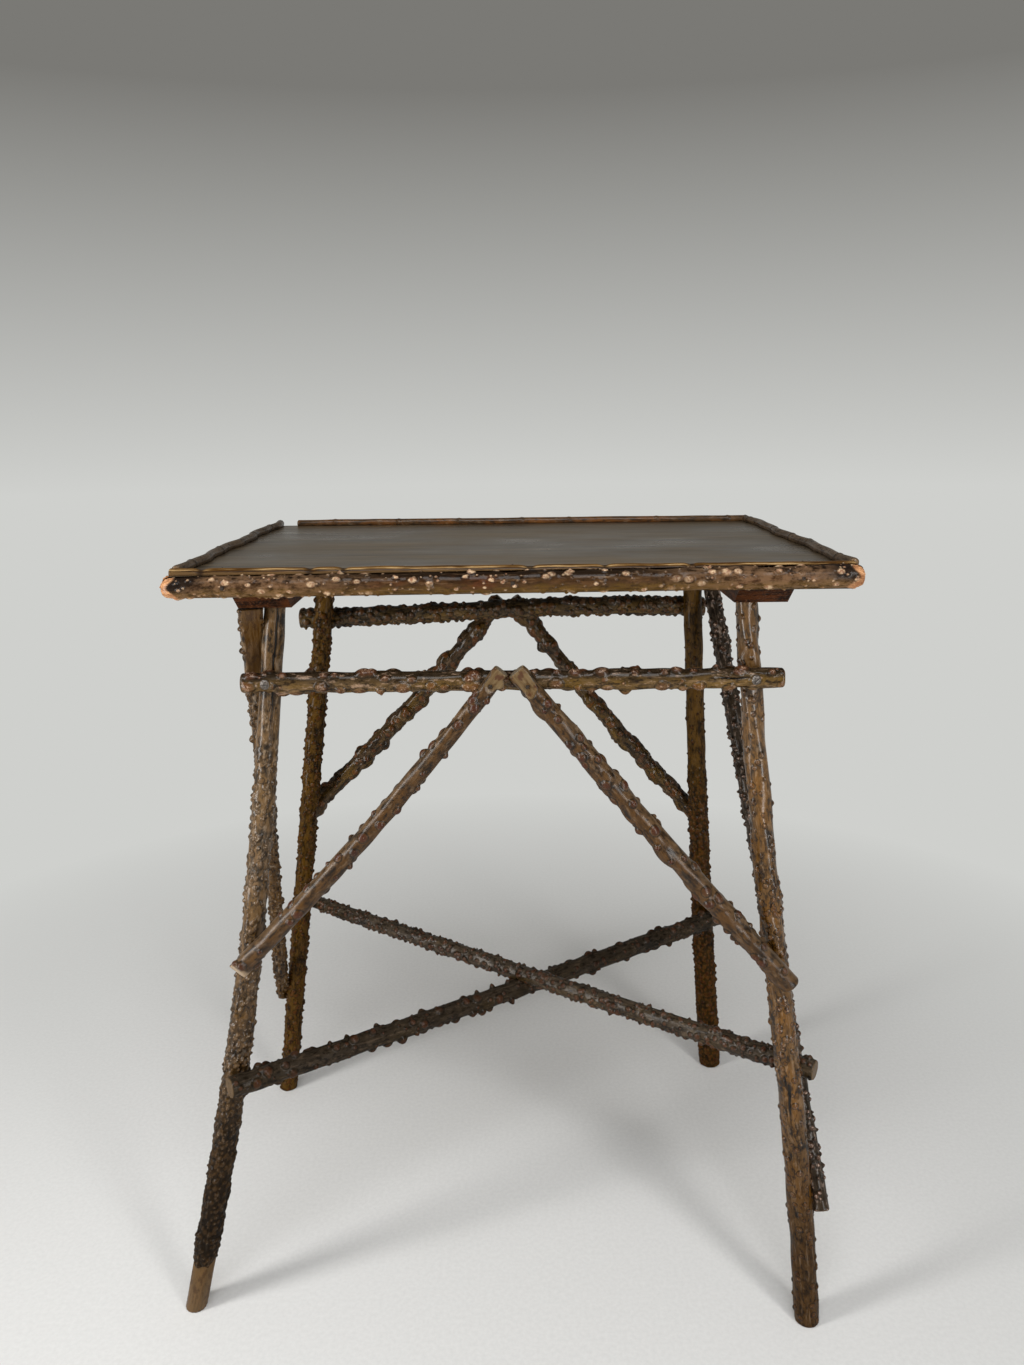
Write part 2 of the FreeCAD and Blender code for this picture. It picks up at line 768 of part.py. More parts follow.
# Nails hold the logs to the edges of the board
for log_name, log in edge_logs.items():
    length = (log.end - log.start).Length
    for place in spread(length, edge_nail_inset, log.nails):
        t = 0.5 + place / length
        depth = log_radius(log, t) * edge_log_thinnest
        head = log_point(log, t) + log.outwards * depth
        drive("edge_log_nails", nail, head, log.outwards * -1, depth + nail_bite, (log_name, "top_board"))

# Brads hold the gallery down
brad_length = gallery_height + nail_bite / 2
brad_level = up * (table_height - brad.head_height)
strip_line = back * (strip_front + strip_width / 2)
rear_line = back * rear_twig_y + right * (rear_twig_gap / 2)
for twig_name, carrier, middle, sideways, length, count in (
    ("front_gallery_strip", "top_board", strip_line, right, top_width, 3),
    ("rear_gallery_twig", "top_board", rear_line, right, top_width - rear_twig_gap, 3),
    ("left_gallery_twig", "top_board", right * left_twig_x, back, top_depth, 2),
    ("right_gallery_twig", "right_edge_log", right * right_twig_x, back, top_depth, 2),
):
    for place in spread(length, brad_inset, count):
        head = middle + sideways * place + brad_level
        drive("gallery_brads", brad, head, down, brad_length, (twig_name, carrier))

# Nails driven up through the cleats hold them to the board
cleat_nail_length = cleat_thickness - nail.head_height + nail_bite
for cleat_name, side in (("left_cleat", -1), ("right_cleat", 1)):
    for place in spread(top_depth, cleat_nail_inset, 2):
        head = Vector(side * cleat_x, place, shoulder + nail.head_height)
        drive("cleat_nails", nail, head, up, cleat_nail_length, (cleat_name, "top_board"))

for group, bodies in fastener_groups.items():
    pieces[group] = Part.makeCompound(bodies)

# The origin is on the floor, under the middle of the whole table
whole = Part.makeCompound(list(pieces.values())).optimalBoundingBox(False, False)
to_origin = Vector(-whole.Center.x, -whole.Center.y, 0)
os.makedirs("parts", exist_ok=True)
for name, shape in pieces.items():
    shape.translate(to_origin)
    shape.exportStep("parts/" + name + ".step")
print("pieces", len(pieces), "moved by", to_origin, "size", whole.XLength, whole.YLength, whole.ZLength)
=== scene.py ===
import math
from collections import namedtuple

import bpy
import numpy as np
from mathutils import Matrix, Vector


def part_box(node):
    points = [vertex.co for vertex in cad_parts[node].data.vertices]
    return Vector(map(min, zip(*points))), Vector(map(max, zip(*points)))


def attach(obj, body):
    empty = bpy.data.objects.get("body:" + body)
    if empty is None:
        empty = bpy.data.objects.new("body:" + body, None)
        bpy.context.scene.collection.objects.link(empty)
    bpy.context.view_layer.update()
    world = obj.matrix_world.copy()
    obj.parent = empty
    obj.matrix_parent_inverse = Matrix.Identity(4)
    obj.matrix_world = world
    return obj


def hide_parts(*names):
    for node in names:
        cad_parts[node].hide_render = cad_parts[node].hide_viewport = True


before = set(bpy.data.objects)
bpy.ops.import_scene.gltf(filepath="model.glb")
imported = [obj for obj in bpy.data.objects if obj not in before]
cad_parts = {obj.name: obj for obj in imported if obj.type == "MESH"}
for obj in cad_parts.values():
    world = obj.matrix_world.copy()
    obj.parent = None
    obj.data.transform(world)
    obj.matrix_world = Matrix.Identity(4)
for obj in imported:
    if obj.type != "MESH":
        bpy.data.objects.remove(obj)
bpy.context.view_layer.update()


# Tabletop board
# One wide softwood board, stained a dark grey-brown and rubbed to a low shine, with its grain running
# from left to right. It lies on the two cleats, and its own shape is kept from the frame.

mm = 0.001


def paint(red, green, blue):
    """A colour given as 0 to 255 on a screen, turned into the linear colour that shaders take.

    The curve of a screen is a straight line close to black, and a power of the value above that.
    """
    screen = np.array([red, green, blue]) / 255
    linear = np.where(screen > 0.04045, ((screen + 0.055) / 1.055) ** 2.4, screen / 12.92)
    return (*linear.tolist(), 1.0)


def new_finish(name):
    """An empty finish: the material, its node tree and its main shader."""
    material = bpy.data.materials.new(name)
    material.use_nodes = True
    return material, material.node_tree, material.node_tree.nodes["Principled BSDF"]


def add(tree, kind, inputs, **settings):
    """One node of a finish. An input is another node's socket or a plain value."""
    node = tree.nodes.new(kind)
    for key, value in settings.items():
        setattr(node, key, value)
    for key, value in inputs.items():
        if isinstance(value, bpy.types.NodeSocket):
            tree.links.new(value, node.inputs[key])
        else:
            node.inputs[key].default_value = value
    return node


def object_place(tree):
    """Every point's own place on the table."""
    return add(tree, "ShaderNodeTexCoord", {}).outputs["Object"]


def stretched(tree, vector, scale, turn=(0.0, 0.0, 0.0)):
    """Coordinates turned and then multiplied along each axis, which draws a pattern out along the least."""
    inputs = {"Vector": vector, "Rotation": turn, "Scale": scale}
    return add(tree, "ShaderNodeMapping", inputs).outputs["Vector"]


def noise(tree, vector, scale=1.0, detail=3.0, roughness=0.6, distortion=0.0):
    """Cloudy noise between 0 and 1, with so many clouds to each unit of the vector."""
    inputs = {"Vector": vector, "Scale": scale, "Detail": detail}
    inputs.update({"Roughness": roughness, "Distortion": distortion})
    return add(tree, "ShaderNodeTexNoise", inputs).outputs["Fac"]


def spread(tree, value, low, high, to_low=0.0, to_high=1.0):
    """A value taken from the range low to high onto another range, and held there past its ends."""
    inputs = {"Value": value, "From Min": low, "From Max": high, "To Min": to_low, "To Max": to_high}
    return add(tree, "ShaderNodeMapRange", inputs).outputs["Result"]


def blend(tree, factor, first, second):
    """The second colour laid over the first as far as the factor says."""
    inputs = {"Factor": factor, 6: first, 7: second}
    return add(tree, "ShaderNodeMix", inputs, data_type="RGBA").outputs[2]


def wash(tree, colour, pattern, low, high, share, tint):
    """A tint laid over a colour where a pattern goes from low to high, up to a share of it."""
    return blend(tree, spread(tree, pattern, low, high, 0.0, share), colour, tint)


def sums(tree, operation, first, second):
    """Two values put together by one operation of arithmetic."""
    return add(tree, "ShaderNodeMath", {0: first, 1: second}, operation=operation).outputs[0]


def wire(tree, shader, **inputs):
    """Sockets joined to the main shader, or plain values set on it, by its input names."""
    for key, value in inputs.items():
        socket = shader.inputs[key.replace("_", " ")]
        if isinstance(value, bpy.types.NodeSocket):
            tree.links.new(value, socket)
        else:
            socket.default_value = value


def bumped(tree, shader, height, distance, strength=1.0):
    """Fine relief, as deep as the distance where the height goes from 0 to 1."""
    inputs = {"Height": height, "Distance": distance, "Strength": strength}
    tree.links.new(add(tree, "ShaderNodeBump", inputs).outputs["Normal"], shader.inputs["Normal"])


stain_dark = paint(40, 32, 22)
stain_light = paint(88, 73, 52)
stain_rubbed = paint(106, 90, 66)
line_dark = paint(34, 27, 18)
line_pale = paint(122, 104, 78)
pore_dark = paint(30, 25, 19)
grain_draw = (3.6, 180.0, 180.0)
pore_draw = (14.0, 620.0, 620.0)
line_draw = (5.0, 250.0, 250.0)
cloud_draw = (0.6, 1.0, 1.0)
clouds_to_metre = 11.0
board_relief = 0.18 * mm


def stained_board():
    """Dark stain over drawn-out grain and lines, with cloudy rubbed patches and fine pores.

    Only the faces that look upwards are rubbed to a shine.
    """
    material, tree, shader = new_finish("stained_board")
    place = object_place(tree)
    grain = noise(tree, stretched(tree, place, grain_draw), detail=6.0, roughness=0.62, distortion=0.5)
    pores = noise(tree, stretched(tree, place, pore_draw))
    lines = noise(tree, stretched(tree, place, line_draw), detail=4.0, distortion=0.2)
    clouds = noise(tree, stretched(tree, place, cloud_draw), clouds_to_metre, detail=4.0, roughness=0.55)
    normal = add(tree, "ShaderNodeNewGeometry", {}).outputs["Normal"]
    upwards = add(tree, "ShaderNodeSeparateXYZ", {"Vector": normal}).outputs["Z"]
    colour = wash(tree, stain_dark, grain, 0.4, 0.6, 1.0, stain_light)
    colour = wash(tree, colour, clouds, 0.45, 0.7, 0.6, stain_rubbed)
    colour = wash(tree, colour, lines, 0.54, 0.62, 0.55, line_dark)
    colour = wash(tree, colour, lines, 0.44, 0.36, 0.3, line_pale)
    colour = wash(tree, colour, pores, 0.52, 0.75, 0.7, pore_dark)
    dull = spread(tree, upwards, 0.5, 0.0, 0.0, 0.8)
    rubbed = spread(tree, clouds, 0.35, 0.65, 0.24, 0.42)
    wire(tree, shader, Base_Color=colour, Roughness=sums(tree, "MAXIMUM", rubbed, dull))
    bumped(tree, shader, sums(tree, "ADD", pores, grain), board_relief, 0.6)
    return material


def coat_node(node, material):
    """A piece of the frame whose shape is right takes a better finish."""
    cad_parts[node].data.materials.clear()
    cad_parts[node].data.materials.append(material)


coat_node("top_board", stained_board())


# Cleats
# Two rough-sawn battens, bevelled at both ends, stained red-brown and nailed up under the board.
# The legs are tenoned into them. Their own shape is kept from the frame.

cleat_dark = paint(16, 6, 0)
cleat_red = paint(58, 29, 12)
cleat_grit = paint(104, 66, 42)
cleat_pit = paint(12, 6, 3)
cleat_saw = paint(84, 45, 18)
cleat_patch = paint(22, 12, 7)
fibre_draw = (260.0, 14.0, 260.0)
saw_draw = (40.0, 40.0, 320.0)
saw_slant = (0.0, 0.6, 0.0)
cleat_relief = 1.2 * mm


def sawn_wood():
    """Red-brown stain in long fibres, with grit, crossed slantwise by the marks of the saw."""
    material, tree, shader = new_finish("sawn_wood")
    place = object_place(tree)
    fibres = noise(tree, stretched(tree, place, fibre_draw), detail=5.0, roughness=0.65, distortion=0.3)
    patches = noise(tree, place, 45.0, roughness=0.55)
    saw = noise(tree, stretched(tree, place, saw_draw, saw_slant), detail=2.0, roughness=0.55)
    grit = noise(tree, place, 520.0, roughness=0.65)
    colour = wash(tree, cleat_dark, fibres, 0.36, 0.66, 1.0, cleat_red)
    colour = wash(tree, colour, grit, 0.52, 0.64, 0.7, cleat_grit)
    colour = wash(tree, colour, grit, 0.46, 0.36, 0.8, cleat_pit)
    colour = wash(tree, colour, saw, 0.5, 0.6, 0.75, cleat_saw)
    colour = wash(tree, colour, patches, 0.45, 0.7, 0.6, cleat_patch)
    wire(tree, shader, Base_Color=colour, Roughness=spread(tree, fibres, 0.3, 0.7, 0.4, 0.65))
    wire(tree, shader, Specular_IOR_Level=0.05)
    bumped(tree, shader, sums(tree, "ADD", grit, saw), cleat_relief)
    return material


cleat_finish = sawn_wood()
for cleat in ("left_cleat", "right_cleat"):
    coat_node(cleat, cleat_finish)


# Legs
# Four branches with the bark left on, varnished. They splay outwards, are tenoned into the cleats at the
# top and sawn level at the foot. Warts stand thick on most of the bark, and one foot has lost its bark.

# Lengths on a stick are in millimetres, and a side is a share of a turn. A layer of warts goes from the first
# to the last share of the stick's length, or past both its ends where these are left out.
Warts = namedtuple("Warts", "spacing width height share stretch first last", defaults=(1.0, -0.1, 1.1))
Crack = namedtuple("Crack", "middle side length width")
Facet = namedtuple("Facet", "toward depth length run_out at_end")
Seat = namedtuple("Seat", "middle side")
still = (0.0, 0.0, 0.0)
upright_axis = np.array([0.0, 0.0, 1.0])
bark_step = 1.0
bark_columns = 80
fewest_cells = 3
spare_cells = 4
neighbours = (-1, 0, 1)
wart_shift = 0.42
wart_sizes = (0.55, 1.3)
wart_heights = (0.4, 1.25)
wart_fade = 0.1
hollow_slope = 2.5
close_share = 0.85
broad_wart = 8.0
lump_count = 9
lump_length = 60.0
lump_rates = (0.4, 1.6)
lump_turns = 4
crack_depth = 1.8
crack_waves = ((0.6, 11.0), (0.4, 4.3))  # how far each wave goes, and the length of a radian of it
seat_radius = 5.2
seat_rim = 1.6
seat_depth = 0.7
stripped_depth = 1.0
ragged_waves = ((1.6, 2, 1.0), (1.1, 5, 0.0))  # how far each wave goes, how many go round, and its phase
ragged_fade = 1.5
groove_depth = 0.16
groove_count = 17
groove_sway = 3.0
groove_length = 19.0
least_facing = 0.05
facet_fade = 0.5
worn_end = 6.0
worn_end_share = 0.3
sawn_fractions = np.array([0.3, 0.6, 0.85, 0.955])
sawn_edge = 0.9
sawn_easing = 0.07
level_run = 24.0
plain_tone = 0.5


def smooth(value):
    """A value held between 0 and 1 and eased at both ends."""
    held = np.clip(value, 0, 1)
    return held * held * (3 - 2 * held)


def unrolled_grid(length, columns):
    """The grid of a stick's skin: the share and the distance along it, the share of a turn and the angle."""
    t = np.linspace(0, 1, int(length / bark_step))
    turn = (np.arange(columns) / columns)[None, :]
    return t, (t * length)[:, None], turn, 2 * math.pi * turn


def blank(along, turn):
    """A field of zeros over the grid."""
    return np.zeros(np.broadcast(along, turn).shape)


def bark_warts(along, turn, girth, layer, rng):
    """Bumps on unrolled bark, as three fields: how high the bark stands, how far up its bump a point is, and
    how deep in the hollows between close bumps it lies, which the finish darkens as painted shade.

    The bark is ruled into cells, with one bump at a random place in each, left out in some. A point takes
    the highest of the bumps in its own cell and the eight round it. A bump is a round dome: 1 less the square
    of the distance from its middle, as a share of its width, and longer along the stick by its stretch.
    """
    cell_long = layer.spacing * layer.stretch
    cells_round = max(fewest_cells, int(round(girth / layer.spacing)))
    cells_long = int(along.max() / cell_long) + spare_cells
    cell_round = girth / cells_round
    shape = (cells_long, cells_round)
    shift_long = rng.uniform(-wart_shift, wart_shift, shape)
    shift_round = rng.uniform(-wart_shift, wart_shift, shape)
    size = rng.uniform(*wart_sizes, shape)
    tall = rng.uniform(*wart_heights, shape) * (rng.uniform(0, 1, shape) < layer.share)
    row = np.floor(along / cell_long).astype(int)
    column = np.floor(turn * cells_round).astype(int)
    high = blank(along, turn)
    dome = blank(along, turn)
    for step_long in neighbours:
        for step_round in neighbours:
            i = np.clip(row + step_long + 1, 0, cells_long - 1)
            j = (column + step_round) % cells_round
            off_long = along - (row + step_long + 0.5 + shift_long[i, j]) * cell_long
            off_round = turn * girth - (column + step_round + 0.5 + shift_round[i, j]) * cell_round
            far = np.hypot(off_long / layer.stretch, off_round) / (layer.width * size[i, j])
            rise = np.clip(1 - far**2, 0, 1)
            taller = rise * tall[i, j] > high
            high = np.where(taller, rise * tall[i, j], high)
            dome = np.where(taller, rise, dome)
    share_along = along / along.max()
    present = smooth((share_along - layer.first) / wart_fade + 0.5)
    present = present * smooth((layer.last - share_along) / wart_fade + 0.5)
    # Painted shade between close bumps: 1 where no bump stands, 0 high up on a bump.
    hollow_shade = smooth(1 - hollow_slope * dome) * present * (layer.share > close_share)
    return high * layer.height * present, dome * present, hollow_shade


def bark_lumps(along, turn, length, rng):
    """Slow swellings: a sum of waves that run along and round the bark, between about -1 and 1."""
    total = blank(along, turn)
    for _ in range(lump_count):
        waves_long = rng.uniform(*lump_rates) * length / lump_length
        waves_round = rng.integers(0, lump_turns)
        phase = rng.uniform(0, 2 * math.pi)
        total = total + np.sin(2 * math.pi * (waves_long * along / length + waves_round * turn) + phase)
    return total / math.sqrt(2 * lump_count)


def bark_relief(along, turn, length, girth, layers, lumps, rng):
    """The lumps with every layer of warts on them. Broad swellings are not marked as warts."""
    high = lumps * bark_lumps(along, turn, length, rng)
    dome = np.zeros_like(high)
    hollow_shade = np.zeros_like(high)
    for layer in layers:
        layer_high, layer_dome, layer_hollow_shade = bark_warts(along, turn, girth, layer, rng)
        high = high + layer_high
        dome = np.maximum(dome, layer_dome * (layer.width < broad_wart))
        hollow_shade = np.maximum(hollow_shade, layer_hollow_shade)
    return high, dome, hollow_shade


def round_from(turn, side, girth):
    """How far round the bark a point is from a side, the shorter way."""
    return ((turn - side + 0.5) % 1 - 0.5) * girth


def bark_cracks(along, turn, girth, cracks):
    """Wandering splits along the grain: 1 down the middle of each, falling to 0 at its sides and ends."""
    furrow = blank(along, turn)
    wander = sum(far * np.sin(along / wave) for far, wave in crack_waves)
    for crack in cracks:
        off_round = round_from(turn, crack.side, girth) + wander
        off_long = (along - crack.middle) / (crack.length / 2)
        ridge = np.clip(1 - (off_round / (crack.width / 2)) ** 2, 0, 1) * np.clip(1 - off_long**2, 0, 1)
        furrow = np.maximum(furrow, ridge)
    return furrow


def bark_seats(along, turn, girth, seats):
    """Bark pressed flat under the heads of screws: 1 inside each seat, falling to 0 across its rim."""
    pressed = blank(along, turn)
    for seat in seats:
        far = np.hypot(along - seat.middle, round_from(turn, seat.side, girth))
        pressed = np.maximum(pressed, smooth((seat_radius + seat_rim - far) / seat_rim))
    return pressed


def bared_foot(reach, radius, along, angle, length, stripped):
    """Bark off the last stripped length, from a ragged edge on, down to lightly grooved wood."""
    if stripped == 0:
        return reach, np.zeros_like(reach)
    ragged = stripped + sum(far * np.sin(count * angle + phase) for far, count, phase in ragged_waves)
    bare = np.clip((along - (length - ragged)) / ragged_fade, 0, 1)
    weave = groove_sway * np.sin(along / groove_length)
    grooves = groove_depth * np.sin(groove_count * angle + weave) - stripped_depth
    return reach * (1 - bare) + (radius + grooves) * bare, bare


def shaved(reach, bare, rim, along, length, facets):
    """Each facet cuts the ring back to a plane at its depth from the middle, and past its length runs out."""
    for facet in facets:
        facing = np.maximum(rim @ np.array(facet.toward), least_facing)
        from_end = length - along if facet.at_end else along
        plane = (facet.depth + facet.run_out * np.maximum(from_end - facet.length, 0)) / facing
        bare = np.maximum(bare, np.clip((reach - plane) / facet_fade, 0, 1))
        reach = np.minimum(reach, plane)
    return reach, bare


def across_and_upright(normal):
    """Two directions square to a normal and to each other."""
    reference = np.array([1.0, 0.0, 0.0]) if abs(normal[2]) > math.sqrt(0.5) else upright_axis
    across = reference - normal * reference.dot(normal)
    across = across / np.linalg.norm(across)
    return across, np.cross(normal, across)


def skin(name, rings, fields, material):
    """A closed piece over rings of points: quads from ring to ring and a fan on the middle of each end.

    Each field is a value or a vector for every point of the rings, or one for a whole row or column of them,
    and is kept on the mesh for the finish.
    """
    rows, columns = rings.shape[:2]
    middles = np.stack([rings[0].mean(0), rings[-1].mean(0)])
    points = np.concatenate([rings.reshape(-1, 3), middles])
    index = np.arange(rows * columns).reshape(rows, columns)
    following = np.roll(index, -1, axis=1)
    quads = np.stack([index[:-1], following[:-1], following[1:], index[1:]], axis=-1).reshape(-1, 4)
    first = np.full(columns, rows * columns)
    start_fan = np.stack([first, following[0], index[0]], axis=-1)
    end_fan = np.stack([first + 1, index[-1], following[-1]], axis=-1)
    mesh = bpy.data.meshes.new(name)
    mesh.from_pydata(points.tolist(), [], quads.tolist() + start_fan.tolist() + end_fan.tolist())
    mesh.polygons.foreach_set("use_smooth", np.ones(len(mesh.polygons), dtype=bool))
    for key, values in fields.items():
        kind, part = ("FLOAT_VECTOR", "vector") if values.ndim == 3 else ("FLOAT", "value")
        values = np.broadcast_to(values, (rows, columns, *values.shape[2:]))
        ends = np.stack([values[0].mean(0), values[-1].mean(0)]).reshape(2, -1)
        every = np.concatenate([values.reshape(rows * columns, -1), ends])
        mesh.attributes.new(key, kind, "POINT").data.foreach_set(part, every.ravel())
    mesh.materials.append(material)
    piece = bpy.data.objects.new(name, mesh)
    bpy.context.scene.collection.objects.link(piece)
    return piece


def unrolled_place(side, rise, along):
    """A stick's own space for its finish: two distances from its middle and one along it, in metres."""
    return np.stack(np.broadcast_arrays(side, rise, along), axis=-1) * mm


def stand_for(piece, node):
    """The piece rides on the table, is shown in place of a node of the frame, and keeps its finish slot."""
    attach(piece, "root")
    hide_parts(node)


def branch(
    node, start, end, radii, finish, seed, layers, lumps=0.5, bow=still, sway=still, tones=(plain_tone,),
    facets=(), cracks=(), seats=(), stripped=0.0, level=False, top=None,
):
    """A stick of bark: rings about a chord that bows in one half wave and sways in one full wave.

    Each ring is the radius at that place, plus slow lumps and every layer of warts, which are worn low beside
    each end, less the cracks, and pressed flat in the seats. The bark may be off the last stripped length,
    and facets may be shaved. Rings that shrink towards the middle close both sawn ends. The rings are square
    to the chord, or level. Under a top, the first ring is slid along the chord onto that level, and the rings
    after it less and less.
    """
    rng = np.random.default_rng(seed)
    start, end, bow, sway = (np.array(value, dtype=float) for value in (start, end, bow, sway))
    length = np.linalg.norm(end - start)
    chord = (end - start) / length
    t, along, turn, angle = unrolled_grid(length, bark_columns)
    across, upright = across_and_upright(-upright_axis if level else chord)
    rim = np.cos(angle)[..., None] * across + np.sin(angle)[..., None] * upright

    radius = np.interp(t, np.linspace(0, 1, len(radii)), radii)[:, None]
    girth = 2 * math.pi * np.mean(radii)
    high, dome, hollow_shade = bark_relief(along, turn, length, girth, layers, lumps, rng)
    near_end = np.minimum(along, length - along)
    high = high * (worn_end_share + (1 - worn_end_share) * smooth(near_end / worn_end))
    furrow = bark_cracks(along, turn, girth, cracks)
    pressed = bark_seats(along, turn, girth, seats)
    reach = (radius + high - crack_depth * furrow) * (1 - pressed) + (radius - seat_depth) * pressed
    reach, bare = bared_foot(reach, radius, along, angle, length, stripped)
    reach, bare = shaved(reach, bare, rim, along, length, facets)
    dome = dome * (1 - bare) * (1 - pressed)
    reach = reach * (1 - sawn_easing * np.clip(1 - near_end / sawn_edge, 0, 1))

    steps = len(sawn_fractions)
    inwards = sawn_fractions[:, None]
    reach = np.concatenate([reach[:1] * inwards, reach, reach[-1:] * inwards[::-1]])
    t = np.concatenate([np.zeros(steps), t, np.ones(steps)])
    end_rows = ((steps, steps), (0, 0))
    bend = bow * np.sin(math.pi * t)[:, None] + sway * np.sin(2 * math.pi * t)[:, None]
    centre = start + (end - start) * t[:, None] + bend
    rings = centre[:, None, :] + reach[..., None] * rim
    straight = (t * length)[:, None]
    if top is not None:
        first_heights = rings[np.minimum(np.arange(len(t)), steps), :, 2]
        slide = (top - first_heights) / chord[2] * np.clip(1 - straight / level_run, 0, 1)
        rings = rings + slide[..., None] * chord
    tone = np.interp(t, np.linspace(0, 1, len(tones)), tones)
    sawn = ((t == 0) | (t == 1)).astype(float)
    fields = {
        "unrolled": unrolled_place(reach * np.cos(angle), reach * np.sin(angle), straight),
        "wart": np.pad(dome, end_rows),
        "hollow_shade": np.pad(hollow_shade * (1 - bare), end_rows),
        "crack": np.pad(furrow, end_rows),
        "bare": np.pad(bare, end_rows),
        "sawn": sawn[:, None],
        "tone": tone[:, None],
        # How far each point faces up, which the finish uses for the painted light of the upper side
        "upper": rim[..., 2],
    }
    stand_for(skin(node + "_bark", rings * mm, fields, finish), node)


def field(tree, name, output="Fac"):
    """A field of the mesh, by its name."""
    return add(tree, "ShaderNodeAttribute", {}, attribute_name=name).outputs[output]


def drawn_out(tree, unrolled, draw, scale, **more):
    """Noise on an unrolled stick whose scale along the stick is cut to a share, the draw."""
    return noise(tree, stretched(tree, unrolled, (1.0, 1.0, draw)), scale, **more)


growth_ring_rate = 4200.0


def end_grain(tree, unrolled, pale, dark):
    """Sawn wood across the grain: rings round the middle and checks."""
    flat = stretched(tree, unrolled, (1.0, 1.0, 0.0))
    from_middle = add(tree, "ShaderNodeVectorMath", {0: flat}, operation="LENGTH").outputs["Value"]
    rings = sums(tree, "SINE", sums(tree, "MULTIPLY", from_middle, growth_ring_rate), 0.0)
    checks = noise(tree, flat, 330.0, roughness=0.7)
    wood = wash(tree, pale, rings, -1.0, 1.0, 0.4, dark)
    return wash(tree, wood, checks, 0.5, 0.72, 0.8, dark)


def bare_wood(tree, unrolled, pale, dark, remains_colour, remains_share=0.75):
    """Wood without its bark: fine fibres along the stick, longer dark checks, and remains of bark."""
    fibres = drawn_out(tree, unrolled, 0.1, 450.0, detail=4.0)
    checks = drawn_out(tree, unrolled, 0.16, 260.0, distortion=0.6)
    remains = drawn_out(tree, unrolled, 0.5, 190.0, detail=4.0, roughness=0.65)
    wood = wash(tree, pale, fibres, 0.35, 0.7, 1.0, dark)
    wood = wash(tree, wood, checks, 0.58, 0.66, 0.75, dark)
    return wash(tree, wood, remains, 0.54, 0.6, remains_share, remains_colour)


# The colours of a bark, each given as red, green and blue from 0 to 255 on a screen
# A bark's upper colour is painted light on the upper side of a lying stick: a painted sheen where it is paler
# than the body, painted shade where it is darker.
Bark = namedtuple("Bark", "deep body gold upper rust tip wood")
crack_dark = paint(14, 9, 5)
bark_bump = 0.8 * mm


